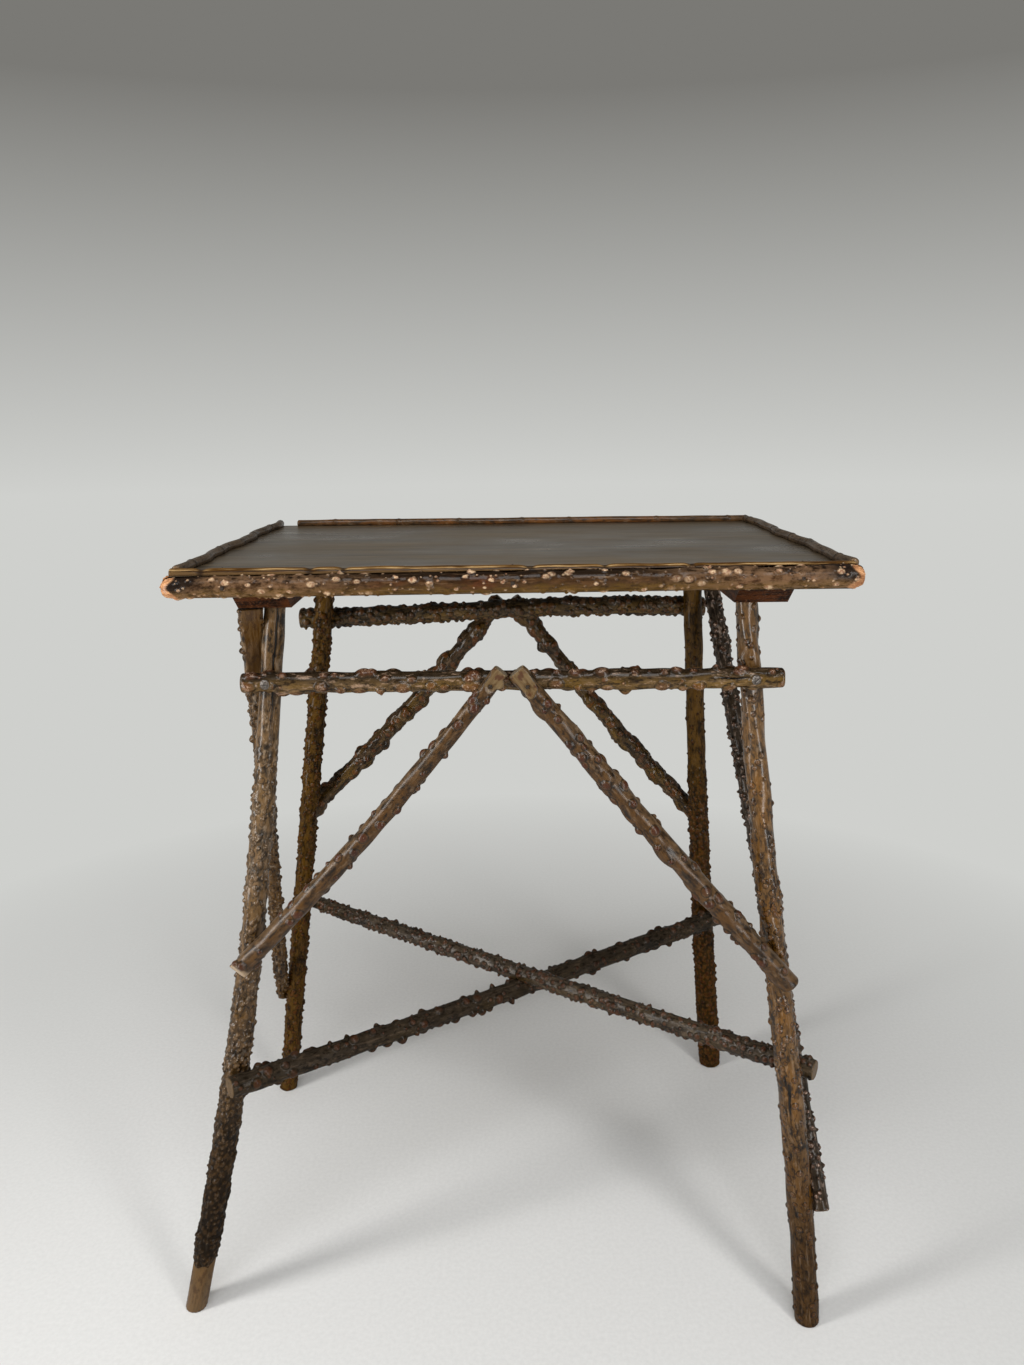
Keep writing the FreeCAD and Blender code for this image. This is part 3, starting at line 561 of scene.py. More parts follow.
def bark_finish(
    name, colours, upper_light_share=0.5, upper_light_start=0.6, tip_share=0.0, gloss=0.2, streak_share=0.3,
    hollow_shade_share=0.6, coat=0.4, fleck_share=0.4, rust_share=0.5, relief=0.8,
):
    """Varnished bark: brown body, golden patches, flecks, rusty warts with pale tips, painted shade in
    hollows.

    Painted shade darkens the hollows between close warts and the foot of each wart. The pale flecks and the
    pale wart tips are partly the bark's own and partly painted glints. The upper side of a lying stick is
    painted lighter on some barks, as a painted sheen, and darker on others, as painted shade. Every pattern
    lies in the unrolled stick's own space, and the fine fibres run along it. A tone under 0.5 darkens the
    bark, and one over
    0.5 makes it paler. Where bark is off, bare wood shows, and end grain on sawn ends.
    """
    material, tree, shader = new_finish(name)
    colours = Bark(*(paint(*colour) for colour in colours))
    unrolled = field(tree, "unrolled", "Vector")
    wart = field(tree, "wart")
    tone = field(tree, "tone")
    mottle = drawn_out(tree, unrolled, 0.5, 170.0, detail=5.0, roughness=0.7)
    flecks = drawn_out(tree, unrolled, 0.45, 280.0)
    patches = drawn_out(tree, unrolled, 0.3, 70.0, roughness=0.55, distortion=0.4)
    streaks = drawn_out(tree, unrolled, 0.1, 420.0)
    specks = noise(tree, unrolled, 620.0)
    # How far a point faces up, broken by the mottle: the mask of the painted light on the upper side.
    upper_light_mask = sums(tree, "ADD", field(tree, "upper"), sums(tree, "MULTIPLY", mottle, 1.4))
    pale = spread(tree, tone, 0.5, 1.0, 0.0, 0.8)
    colour = wash(tree, colours.deep, mottle, 0.38, 0.56, 1.0, colours.body)
    colour = wash(tree, colour, patches, 0.42, 0.64, 0.85, colours.gold)
    # The upper colour laid over the upper side as a painted sheen or as painted shade, by the bark.
    colour = wash(tree, colour, upper_light_mask, upper_light_start, upper_light_start + 0.9, upper_light_share, colours.upper)
    # Pale flecks: partly flecks in the bark, partly painted glints.
    colour = wash(tree, colour, flecks, 0.57, 0.68, fleck_share, colours.tip)
    colour = wash(tree, colour, flecks, 0.46, 0.36, 0.85, colours.deep)
    colour = wash(tree, colour, tone, 0.5, 0.0, 0.9, colours.deep)
    colour = blend(tree, pale, colour, colours.tip)
    colour = wash(tree, colour, streaks, 0.5, 0.66, streak_share, colours.deep)
    colour = wash(tree, colour, streaks, 0.42, 0.28, 0.6 * streak_share, colours.tip)

    # Painted shade: darker round the foot of each wart and in the hollows between close warts.
    wart_foot_shade = sums(tree, "MULTIPLY", spread(tree, wart, 0.0, 0.12), spread(tree, wart, 0.5, 0.2))
    dark = sums(tree, "MAXIMUM", wart_foot_shade, field(tree, "hollow_shade"))
    colour = blend(tree, sums(tree, "MULTIPLY", dark, hollow_shade_share), colour, colours.deep)
    rusty = spread(tree, patches, 0.36, 0.54, 0.5 * rust_share, rust_share)
    rusty = sums(tree, "MULTIPLY", spread(tree, wart, 0.35, 0.8), rusty)
    rusty = sums(tree, "MULTIPLY", rusty, spread(tree, tone, 0.0, 0.5, 0.45, 1.0))
    colour = blend(tree, rusty, colour, colours.rust)
    # Pale tips on the warts: partly worn bark, partly painted glints.
    paled = spread(tree, specks, 0.6 - tip_share, 0.72 - tip_share)
    paled = sums(tree, "MULTIPLY", spread(tree, wart, 0.7, 0.95), paled)
    paled = sums(tree, "MULTIPLY", paled, spread(tree, tone, 0.1, 0.5, 0.15, 1.0))
    colour = blend(tree, paled, colour, colours.tip)

    wood = bare_wood(tree, unrolled, colours.wood, colours.body, colours.rust)
    wood = blend(tree, pale, wood, colours.tip)
    colour = blend(tree, field(tree, "bare"), colour, wood)
    colour = wash(tree, colour, field(tree, "crack"), 0.1, 0.7, 1.0, crack_dark)
    colour = blend(tree, field(tree, "sawn"), colour, end_grain(tree, unrolled, colours.wood, colours.deep))
    wire(tree, shader, Base_Color=colour, Roughness=spread(tree, mottle, 0.3, 0.7, 0.4, 0.7))
    wire(tree, shader, Coat_Weight=spread(tree, tone, 0.1, 0.5, 0.3 * coat, coat))
    wire(tree, shader, Coat_Roughness=gloss, Specular_IOR_Level=0.0)
    bumped(tree, shader, sums(tree, "ADD", streaks, specks), bark_bump, relief)
    return material


# On the legs the upper colours, paler than the bodies, are a faint painted sheen on their upper sides.
leg_colours = Bark(
    deep=(16, 9, 3), body=(98, 73, 44), gold=(98, 70, 30), upper=(126, 100, 74),
    rust=(66, 46, 27), tip=(184, 164, 140), wood=(86, 66, 41),
)
golden_colours = Bark(
    deep=(20, 10, 2), body=(96, 66, 26), gold=(106, 68, 8), upper=(116, 90, 66),
    rust=(70, 34, 14), tip=(176, 150, 122), wood=(92, 66, 38),
)
rear_colours = Bark(
    deep=(18, 9, 0), body=(80, 55, 15), gold=(84, 56, 6), upper=(80, 60, 30),
    rust=(72, 32, 10), tip=(104, 80, 54), wood=(80, 55, 27),
)
leg_bark = bark_finish(
    "leg_bark", leg_colours, tip_share=0.05, gloss=0.24, streak_share=0.15, coat=0.55, hollow_shade_share=0.65,
    fleck_share=0.3, relief=0.6,
)
golden_bark = bark_finish(
    "golden_bark", golden_colours, tip_share=0.06, gloss=0.23, coat=0.75, hollow_shade_share=0.8,
    fleck_share=0.22, relief=0.4,
)
rear_leg_bark = bark_finish("rear_leg_bark", rear_colours, coat=0.2, fleck_share=0.25)

pebbles = Warts(spacing=4.4, width=2.4, height=1.2, share=0.97, stretch=1.25, first=0.52)
leg_warts = Warts(spacing=5.8, width=2.4, height=1.5, share=0.8, stretch=1.2, first=0.2, last=0.7)
small_warts = Warts(spacing=8.5, width=3.0, height=1.7, share=0.6, first=0.2)
pimples = Warts(spacing=9.0, width=2.2, height=1.3, share=0.45)
big_pimples = pimples._replace(width=2.6, height=1.5, share=0.65)
close_warts = small_warts._replace(spacing=7.5, first=-0.1, height=2.0, share=0.84)

branch(
    "front_left_leg", start=(-174.4, -155.7, 676.2), end=(-291.4, -175.7, 0.0), bow=(12.8, 0.0, 0.0),
    radii=(8.9, 9.2, 9.6, 10.6, 11.2, 11.0), finish=leg_bark, seed=11, level=True, stripped=54.0,
    layers=(leg_warts, pebbles, small_warts._replace(share=0.4)),
    tones=(0.5, 0.5, 0.52, 0.54, 0.52, 0.5, 0.38, 0.18, 0.05, 0.0, 0.5),
    cracks=(Crack(middle=45.0, side=0.18, length=150.0, width=2.6),),
)
branch(
    "front_right_leg", start=(208.6, -155.7, 676.2), end=(287.1, -198.7, 0.0), sway=(-2.9, 0.0, 0.0),
    radii=(8.8, 9.5, 10.2, 10.8, 11.3, 11.3), finish=golden_bark, seed=12, level=True, lumps=0.7,
    layers=(big_pimples, small_warts._replace(first=0.36, last=0.62)),
    tones=(0.53, 0.53, 0.52, 0.5, 0.48, 0.49, 0.44, 0.3, 0.16, 0.16),
    cracks=(
        Crack(middle=448.0, side=0.3, length=46.0, width=3.0),
        Crack(middle=430.0, side=0.34, length=14.0, width=2.2),
    ),
)
branch(
    "rear_left_leg", start=(-181.6, 138.3, 676.2), end=(-272.1, 156.3, 0.0),
    radii=(9.6, 10.0, 10.2, 10.0, 10.2, 10.4), finish=rear_leg_bark, seed=13, level=True,
    layers=(close_warts, pimples), tones=(0.5, 0.5, 0.45, 0.4, 0.5),
)
branch(
    "rear_right_leg", start=(215.4, 138.3, 676.2), end=(270.9, 197.3, 0.0), bow=(-3.0, 0.0, 0.0),
    radii=(10.0, 10.2, 10.6, 11.4, 12.4, 13.0), finish=rear_leg_bark, seed=14, level=True,
    layers=(pimples, pebbles._replace(first=0.4), small_warts._replace(first=0.4)),
    tones=(0.55, 0.55, 0.5, 0.38, 0.35, 0.4),
)


# Rails
# Two branches laid across the legs under the top, one in front and one behind, each held by two screws.
# The front one has scattered knots on smoother bark, and the rear one is thick with small warts.

# On both rails the dark upper colour is painted shade under the board, with some dark dirt on the top as
# well.
rail_colours = Bark(
    deep=(28, 18, 8), body=(108, 85, 55), gold=(110, 82, 30), upper=(36, 29, 22),
    rust=(96, 54, 32), tip=(176, 146, 122), wood=(106, 80, 48),
)
dark_colours = Bark(
    deep=(22, 16, 8), body=(78, 61, 38), gold=(96, 71, 25), upper=(36, 31, 24),
    rust=(80, 44, 20), tip=(120, 100, 80), wood=(100, 78, 52),
)
rail_bark = bark_finish(
    "rail_bark", rail_colours, upper_light_share=0.9, upper_light_start=0.5, tip_share=0.06, fleck_share=0.5,
)
dark_bark = bark_finish("dark_bark", dark_colours, upper_light_share=0.85, gloss=0.25, hollow_shade_share=0.75)
rail_knots = Warts(spacing=12.0, width=5.2, height=3.0, share=0.8, stretch=1.2)
rear_warts = Warts(spacing=7.5, width=4.0, height=2.6, share=0.84)
front_side = 0.25
back_side = 0.75

branch(
    "front_rail", start=(-201.5, -173.3, 614.0), end=(237.2, -175.7, 614.0), radii=(8.0, 8.5, 8.0, 8.4, 8.0),
    finish=rail_bark, seed=21, layers=(rail_knots, pimples._replace(share=0.25)), lumps=0.6,
    cracks=(Crack(middle=396.0, side=0.2, length=30.0, width=2.2),),
    seats=(Seat(19.9, front_side), Seat(415.6, front_side)),
)
branch(
    "rear_rail", start=(-220.2, 159.1, 604.0), end=(235.7, 163.1, 612.3), bow=(0.0, 0.0, 3.6),
    sway=(0.0, 0.0, -1.6), radii=(10.4, 10.0, 9.8, 10.2, 10.0), finish=dark_bark, seed=22,
    layers=(rear_warts,), seats=(Seat(28.8, back_side), Seat(439.8, back_side)),
)


# Braces
# Two pairs of branches set like an upturned V, in front and behind, nailed to the rail and the legs.
# The front pair is the smoothest of all. Its tops are shaved to bare wood, and one foot is cut to cream wood.

# The front braces' pale upper colour is a painted sheen, and the rear braces' dark upper colour is painted
# shade.
brace_colours = Bark(
    deep=(20, 11, 3), body=(76, 51, 22), gold=(80, 51, 13), upper=(128, 110, 88),
    rust=(64, 30, 15), tip=(180, 156, 128), wood=(112, 93, 64),
)
rear_brace_colours = dark_colours._replace(body=(72, 54, 34), upper=(48, 38, 28), rust=(100, 52, 22))
brace_bark = bark_finish(
    "brace_bark", brace_colours, upper_light_share=0.4, upper_light_start=0.85, tip_share=-0.02, gloss=0.31, coat=0.6,
    streak_share=0.15, hollow_shade_share=0.85, fleck_share=0.12, rust_share=0.9, relief=0.3,
)
rear_brace_bark = bark_finish("rear_brace_bark", rear_brace_colours, gloss=0.22)
brace_knots = Warts(spacing=14.0, width=4.0, height=2.8, share=0.84, stretch=1.1)
swellings = Warts(spacing=22.0, width=10.0, height=4.2, share=0.84, stretch=1.2)
rear_brace_layers = (swellings, rear_warts._replace(height=1.2, share=0.6))
shaved_top = Facet(toward=(0.0, -1.0, 0.0), depth=4.6, length=16.0, run_out=0.5, at_end=False)
cut_foot = Facet(toward=(-0.3, -0.9, -0.3), depth=0.8, length=0.0, run_out=0.9, at_end=True)
cream_foot = (plain_tone,) * 98 + (0.9, 1.0, 1.0)

branch(
    "front_left_brace", start=(9.6, -187.5, 625.0), end=(-223.7, -181.1, 357.7), bow=(4.0, -0.1, -3.5),
    radii=(6.6, 7.3, 7.6, 7.9, 8.2), finish=brace_bark, seed=31, layers=(brace_knots,), lumps=0.4,
    tones=cream_foot, facets=(shaved_top, cut_foot),
)
branch(
    "front_right_brace", start=(21.1, -189.0, 625.0), end=(253.5, -194.2, 347.0), bow=(-1.8, 0.0, -1.5),
    radii=(7.6, 8.2, 8.4, 8.6, 8.6), finish=brace_bark, seed=32, lumps=0.4,
    layers=(swellings._replace(height=2.0), brace_knots), facets=(shaved_top,),
)
branch(
    "rear_left_brace", start=(7.2, 178.1, 620.4), end=(-230.9, 164.1, 365.0), bow=(4.5, 0.3, -4.2),
    radii=(7.6, 8.6, 9.0, 8.8, 8.6), finish=rear_brace_bark, seed=33, layers=rear_brace_layers,
)
branch(
    "rear_right_brace", start=(19.8, 178.3, 620.9), end=(247.1, 185.5, 344.0), bow=(-5.2, -0.2, -4.3),
    radii=(7.6, 8.2, 8.4, 8.4, 8.4), finish=rear_brace_bark, seed=34, layers=rear_brace_layers,
)


# Side braces
# One long branch leans along each side outside the legs, from under a cleat down to the other leg.
# Each is nailed to both legs and sawn off level at its top, and the left one is planed there in front.

# The left side brace's pale upper colour is a painted sheen, and the right one's dark upper colour is painted
# shade.
side_colours = leg_colours._replace(gold=(94, 62, 10), wood=(74, 48, 14))
grey_colours = dark_colours._replace(
    deep=(26, 20, 15), body=(66, 55, 45), gold=(62, 49, 35), tip=(182, 158, 142),
)
left_side_bark = bark_finish("left_side_bark", side_colours)
right_side_bark = bark_finish("right_side_bark", grey_colours, tip_share=0.12)
side_warts = Warts(spacing=7.5, width=3.3, height=2.5, share=0.84)
planed_top = Facet(toward=(0.25, -0.85, -0.46), depth=6.6, length=65.5, run_out=0.12, at_end=False)
cleat_underside = 674.7

branch(
    "left_side_brace", start=(-191.7, -168.4, cleat_underside), end=(-271.1, 158.7, 129.8),
    radii=(10.0, 7.6, 7.2, 7.1, 6.8), finish=left_side_bark, seed=41, layers=(side_warts,),
    top=cleat_underside, tones=(0.5, 0.5, 0.45, 0.4, 0.35), facets=(planed_top,),
)
branch(
    "right_side_brace", start=(232.5, 151.3, cleat_underside), end=(293.8, -196.9, 118.9),
    radii=(8.6, 8.3, 7.8, 7.6, 7.4), finish=right_side_bark, seed=42,
    layers=(side_warts._replace(width=2.8),), top=cleat_underside,
)


# Stretchers
# Two branches that cross between the legs, the upper one lying on the lower, nailed to each other and to
# the legs. They are dark and grey: the lower one has big knobs far apart, the upper one small close ones.

# The stretchers' pale upper colour is a painted sheen along their tops.
stretcher_colours = dark_colours._replace(
    body=(58, 47, 35), gold=(66, 51, 28), upper=(72, 63, 53), rust=(84, 42, 20),
)
stretcher_bark = bark_finish(
    "stretcher_bark", stretcher_colours, upper_light_share=0.6, tip_share=-0.02, gloss=0.24,
)
knobs = Warts(spacing=16.0, width=4.6, height=3.8, share=0.75)
close_knobs = small_warts._replace(first=-0.1, spacing=7.0, height=2.4, share=0.8)
stretcher_sag = (0.0, 0.0, -2.0)

branch(
    "lower_stretcher", start=(-236.1, -191.6, 249.5), end=(272.3, 168.1, 226.0), bow=stretcher_sag,
    radii=(9.4, 9.0, 9.2, 9.6, 9.8), finish=stretcher_bark, seed=51, layers=(knobs, pimples),
    tones=(0.25, 0.3),
)
branch(
    "upper_stretcher", start=(285.7, -176.9, 250.3), end=(-239.6, 170.7, 254.1), bow=stretcher_sag,
    radii=(9.0, 8.6, 8.4, 8.1, 7.6), finish=stretcher_bark, seed=52, layers=(close_knobs, pimples),
)


# Nails and screws
# Cut nails pin the sticks and the logs, small brads hold the gallery, and slotted screws the rails.
# They are iron and steel gone dull and brown, and keep their shape from the frame.

metal_relief = 0.2 * mm


def old_metal(name, bare, stained, roughness):
    """Metal with brown stains that stand a little proud of it, and are rougher than it is."""
    material, tree, shader = new_finish(name)
    stain = noise(tree, object_place(tree), 600.0, detail=4.0)
    colour = wash(tree, bare, stain, 0.4, 0.62, 1.0, stained)
    wire(tree, shader, Base_Color=colour, Metallic=0.8)
    wire(tree, shader, Roughness=spread(tree, stain, 0.35, 0.65, roughness, roughness + 0.25))
    bumped(tree, shader, stain, metal_relief, 0.5)
    return material


iron = old_metal("nail_iron", paint(70, 62, 55), paint(44, 33, 25), roughness=0.45)
steel = old_metal("screw_steel", paint(122, 117, 112), paint(74, 63, 55), roughness=0.36)
for nails in ("brace_nails", "stretcher_nails", "edge_log_nails", "gallery_brads", "cleat_nails"):
    coat_node(nails, iron)
coat_node("rail_screws", steel)


# Edge logs
# Branches split down the middle and nailed round the edges of the board, flat side inwards. The bark is
# dark above and olive below, with many warts shaved to pale spots, and the ends are pared to bare wood.

log_spots = Warts(spacing=11.0, width=3.4, height=1.5, share=0.6, stretch=1.15)
log_specks = Warts(spacing=6.0, width=1.7, height=1.5, share=0.4)
speck_share = 0.8
log_lumps = 0.6
log_sunk = 0.7
log_end = 9.0
log_end_share = 0.5
pared_length = 7.0
pared_waves = 3
pared_ragged = 2.5
pared_below = 4.0
pared_fade = 3.0
faded_start = 0.14
faded_run = 0.2
soot_length = 34.0
soot_strength = 1.2
soot_above = 0.75
log_deep = paint(24, 13, 5)
log_brown = paint(82, 56, 32)
log_red = paint(84, 42, 22)
log_olive = paint(98, 71, 27)
log_mottle = paint(40, 24, 10)
log_top = paint(22, 14, 7)
log_fibre = paint(34, 23, 14)
log_pale_fibre = paint(160, 128, 96)
log_faded = paint(132, 101, 74)
log_soot = paint(22, 16, 13)
spot_cream = paint(198, 170, 136)
spot_brown = paint(140, 100, 76)
pared_pale = paint(206, 154, 110)
pared_dark = paint(140, 92, 58)
pared_remains = paint(120, 74, 46)
log_relief = 0.5 * mm


def log_finish():
    """Varnished split log: near-black above, red-brown patches, olive gold below, and round pale spots.

    The bands follow the height on the log, from -1 at its bottom to 1 at its top, made ragged by noise. The
    bark is paler and more spotted towards both ends. Soot darkens it beside each pared end, where
    peach-coloured wood shows.
    """
    material, tree, shader = new_finish("log_bark")
    unrolled = field(tree, "unrolled", "Vector")
    faded = field(tree, "faded")
    patches = drawn_out(tree, unrolled, 0.4, 150.0, detail=4.0, roughness=0.65)
    reds = drawn_out(tree, unrolled, 0.5, 60.0, roughness=0.55)
    fibres = drawn_out(tree, unrolled, 0.1, 450.0, detail=4.0, roughness=0.62)
    mottle = drawn_out(tree, unrolled, 0.6, 200.0, detail=5.0, roughness=0.7)
    specks = noise(tree, unrolled, 500.0)
    ragged = sums(tree, "ADD", field(tree, "height"), spread(tree, patches, 0.25, 0.75, -0.45, 0.45))
    colour = wash(tree, log_deep, patches, 0.36, 0.62, 1.0, log_brown)
    colour = wash(tree, colour, reds, 0.55, 0.7, 0.6, log_red)
    colour = wash(tree, colour, ragged, 0.0, -0.6, 0.85, log_olive)
    colour = wash(tree, colour, mottle, 0.5, 0.66, 0.65, log_mottle)
    colour = wash(tree, colour, ragged, 0.25, 0.8, 0.9, log_top)
    colour = wash(tree, colour, fibres, 0.54, 0.74, 0.7, log_fibre)
    colour = wash(tree, colour, fibres, 0.42, 0.26, 0.35, log_pale_fibre)
    paled = sums(tree, "MULTIPLY", faded, spread(tree, mottle, 0.6, 0.42, 0.0, 0.5))
    colour = blend(tree, paled, colour, log_faded)
    colour = wash(tree, colour, field(tree, "soot"), 0.15, 0.6, 0.9, log_soot)
    spot_colour = wash(tree, spot_cream, specks, 0.4, 0.6, 1.0, spot_brown)
    spotted = sums(tree, "MAXIMUM", spread(tree, reds, 0.4, 0.55), sums(tree, "MULTIPLY", faded, 0.85))
    spot = sums(tree, "MULTIPLY", spread(tree, field(tree, "wart"), 0.38, 0.8), spotted)
    colour = blend(tree, spot, colour, spot_colour)
    wood = bare_wood(tree, unrolled, pared_pale, pared_dark, pared_remains, remains_share=0.4)
    colour = blend(tree, field(tree, "bare"), colour, wood)
    wire(tree, shader, Base_Color=colour, Roughness=spread(tree, patches, 0.3, 0.7, 0.28, 0.46))
    wire(tree, shader, Specular_IOR_Level=0.0, Coat_Weight=0.3, Coat_Roughness=0.2)
    bumped(tree, shader, sums(tree, "ADD", fibres, specks), log_relief, 0.8)
    return material


def node_box(node):
    """The lowest and highest corners of a node of the frame, in millimetres."""
    return (np.array(corner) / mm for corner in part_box(node))


def log_line(node, outwards, start_radius, end_radius):
    """The straight line of a log along the middle of its flat side, and its radius at both ends.

    The log fills its box in the frame: it starts at the bottom of the box and ends at its top, if its radius
    grows. It is turned end for end where that keeps the faces of its skin pointing outwards.
    """
    low, high = node_box(node)
    half_height = (high[2] - low[2]) / 2
    start_radius = start_radius or half_height
    end_radius = end_radius or half_height
    flat_side = np.where(outwards < 0, high, low)
    lengthways = 1 - np.abs(outwards)
    start = np.where(lengthways > 0, low, flat_side)
    end = np.where(lengthways > 0, high, flat_side)
    start[2] = low[2] + start_radius
    end[2] = high[2] - end_radius
    if np.cross(outwards, upright_axis).dot(end - start) < 0:
        return end, start, end_radius, start_radius, half_height
    return start, end, start_radius, end_radius, half_height


def split_log(node, finish, outwards, seed, start_radius=None, end_radius=None):
    """A half-round log: rings shaped like a D, whose round side swells with lumps and flat warts.

    A point at an angle stands out by the cosine where that is above 0 and lies on the flat side elsewhere,
    and rises by the sine. The rings draw in towards each end along a quarter of an oval.
    """
    rng = np.random.default_rng(seed)
    outwards = np.array(outwards, dtype=float)
    start, end, start_radius, end_radius, half_height = log_line(node, outwards, start_radius, end_radius)
    length = np.linalg.norm(end - start)
    t, along, turn, angle = unrolled_grid(length, bark_columns)
    radius = start_radius + (end_radius - start_radius) * t[:, None]
    girth = 2 * math.pi * half_height
    high_spots, spots, _ = bark_warts(along, turn, girth, log_spots, rng)
    high_specks, specks, _ = bark_warts(along, turn, girth, log_specks, rng)
    lumps = log_lumps * bark_lumps(along, turn, length, rng) - log_sunk
    near_end = np.minimum(along, length - along)
    inside = np.clip(near_end / log_end, 0, 1)
    drawn_in = log_end_share + (1 - log_end_share) * np.sqrt(1 - (1 - inside) ** 2)
    reach = (radius + lumps + high_spots + high_specks) * drawn_in
    out = np.maximum(np.cos(angle), 0) * reach
    rise = np.sin(angle) * np.where(np.cos(angle) > 0, reach, radius * drawn_in)
    centre = start + (end - start) * t[:, None]
    rings = centre[:, None, :] + out[..., None] * outwards + rise[..., None] * upright_axis
    pared = pared_length + pared_ragged * np.sin(pared_waves * angle + seed)
    pared = pared + pared_below * np.clip(-np.sin(angle), 0, 1)
    from_middle = np.abs(t - 0.5)[:, None]
    sooty = np.clip(soot_strength - near_end / soot_length, 0, 1)
    fields = {
        "unrolled": unrolled_place(out, rise, along),
        "wart": np.maximum(spots, speck_share * specks),
        "height": rise / radius,
        "bare": smooth((pared - near_end) / pared_fade + 0.5),
        "faded": smooth((from_middle - faded_start) / faded_run),
        "soot": sooty * np.clip(soot_above + np.sin(angle), 0, 1),
    }
    stand_for(skin(node + "_bark", rings * mm, fields, finish), node)


log_bark = log_finish()
split_log("front_edge_log", log_bark, (0.0, -1.0, 0.0), seed=61, start_radius=8.5, end_radius=9.35)
split_log("rear_edge_log", log_bark, (0.0, 1.0, 0.0), seed=62)
split_log("left_edge_log", log_bark, (-1.0, 0.0, 0.0), seed=63)
split_log("right_edge_log", log_bark, (1.0, 0.0, 0.0), seed=64)


# Gallery
# A split twig along the front edge, flat side down, and thin round twigs along the other three sides,
# pinned down on the board by brads. They make a small lip round the top.

strip_columns = 48
strip_break = 4.0
strip_breaks = 7
strip_height = 0.93
strip_height_lumps = 0.05
strip_break_depth = 0.2
strip_shoulder = 0.62
strip_width = 0.98
strip_width_lumps = 0.02
break_dark_start = 0.7
break_dark_slope = 1.6
break_darkest = 0.9
strip_deep = paint(70, 44, 13)
strip_gold = paint(108, 74, 28)
strip_cream = paint(172, 142, 98)
strip_back = paint(74, 54, 32)
strip_line = paint(46, 32, 20)
strip_lip = paint(92, 72, 48)
strip_fibre = paint(70, 48, 26)
strip_gap = paint(40, 28, 18)
strip_relief = 0.4 * mm


def strip_finish():
    """Split twig: a golden face with cream streaks, a brown lip in front and a dark line beside it.

    The bands follow the place across the strip, 0 at its front foot and 1 at its back foot.
    """
    material, tree, shader = new_finish("gallery_strip")
    unrolled = field(tree, "unrolled", "Vector")
    fibres = drawn_out(tree, unrolled, 0.05, 900.0, detail=4.0, roughness=0.62)
    patches = drawn_out(tree, unrolled, 0.2, 120.0, roughness=0.55)
    band = sums(tree, "ADD", field(tree, "band"), spread(tree, fibres, 0.3, 0.7, -0.05, 0.05))
    cream = sums(tree, "MULTIPLY", spread(tree, band, 0.2, 0.26), spread(tree, band, 0.36, 0.3))
    cream = sums(tree, "MULTIPLY", cream, spread(tree, patches, 0.4, 0.55))
    line = sums(tree, "MULTIPLY", spread(tree, band, 0.1, 0.14), spread(tree, band, 0.22, 0.18))
    colour = wash(tree, strip_deep, patches, 0.36, 0.64, 1.0, strip_gold)
    colour = blend(tree, cream, colour, strip_cream)
    colour = wash(tree, colour, band, 0.55, 0.8, 0.8, strip_back)
    colour = blend(tree, line, colour, strip_line)
    colour = wash(tree, colour, band, 0.13, 0.09, 0.8, strip_lip)
    colour = wash(tree, colour, fibres, 0.55, 0.75, 0.7, strip_fibre)
    colour = blend(tree, field(tree, "crack"), colour, strip_gap)
    wire(tree, shader, Base_Color=colour, Roughness=spread(tree, patches, 0.3, 0.7, 0.26, 0.42))
    wire(tree, shader, Specular_IOR_Level=0.0, Coat_Weight=0.25, Coat_Roughness=0.2)
    bumped(tree, shader, fibres, strip_relief, 0.8)
    return material


def turned_over(rings, fields):
    """The same rings counted the other way round, which turns the faces of their skin over."""
    return rings[:, ::-1], {key: values[:, ::-1] for key, values in fields.items()}


def gallery_strip(node, finish, seed):
    """A split twig on the board's front edge: rings shaped like a D lying on its flat side.

    A point at an angle goes across by the cosine and up by a power of the sine, which makes the shoulders
    full. Slow lumps and thin breaks lower the top here and there.
    """
    rng = np.random.default_rng(seed)
    low, high = node_box(node)
    length = high[0] - low[0]
    half_width = (high[1] - low[1]) / 2
    _, along, turn, angle = unrolled_grid(length, strip_columns)
    breaks = rng.uniform(0, length, strip_breaks)
    gap = np.exp(-(((along[..., None] - breaks) / strip_break) ** 2)).max(-1)
    same_round = turn * 0
    lumps = strip_height_lumps * bark_lumps(along, same_round, length, rng)
    height = (high[2] - low[2]) * (strip_height + lumps - strip_break_depth * gap)
    up = height * np.maximum(np.sin(angle), 0) ** strip_shoulder
    lumps = strip_width_lumps * bark_lumps(along, same_round, length, rng)
    across = -half_width * np.cos(angle) * (strip_width + lumps)
    middle = (low[1] + high[1]) / 2
    rings = np.stack(np.broadcast_arrays(low[0] + along, middle + across, low[2] + up), axis=-1)
    fields = {
        "unrolled": unrolled_place(across, up, along),
        "band": np.clip(turn * 2, 0, 1),
        "crack": np.clip(break_dark_slope * gap - break_dark_start, 0, break_darkest),
    }
    rings, fields = turned_over(rings, fields)
    stand_for(skin(node + "_split", rings * mm, fields, finish), node)


gallery_strip("front_gallery_strip", strip_finish(), seed=71)

# The twigs' upper colours, paler than their bodies, are painted light on their tops.
twig_colours = Bark(
    deep=(44, 34, 25), body=(72, 57, 43), gold=(80, 62, 42), upper=(92, 79, 65),
    rust=(30, 21, 14), tip=(140, 120, 98), wood=(120, 96, 70),
)
rear_twig_colours = twig_colours._replace(body=(74, 52, 30), gold=(118, 72, 30), upper=(86, 60, 36))
twig_bark = bark_finish(
    "gallery_twig", twig_colours, upper_light_share=0.4, streak_share=0.2, fleck_share=0.1, rust_share=0.9,
    relief=0.4,
)
rear_twig_bark = bark_finish("rear_gallery_twig", rear_twig_colours, upper_light_share=0.4)
twig_columns = 28
twig_radius = 4.2
twig_planed = 2.4
twig_room = 2.4
twig_lumps = 0.14
twig_waves = ((0.7, 2.0), (0.3, 5.2))  # each one's share of the room, and its half turns to a wave
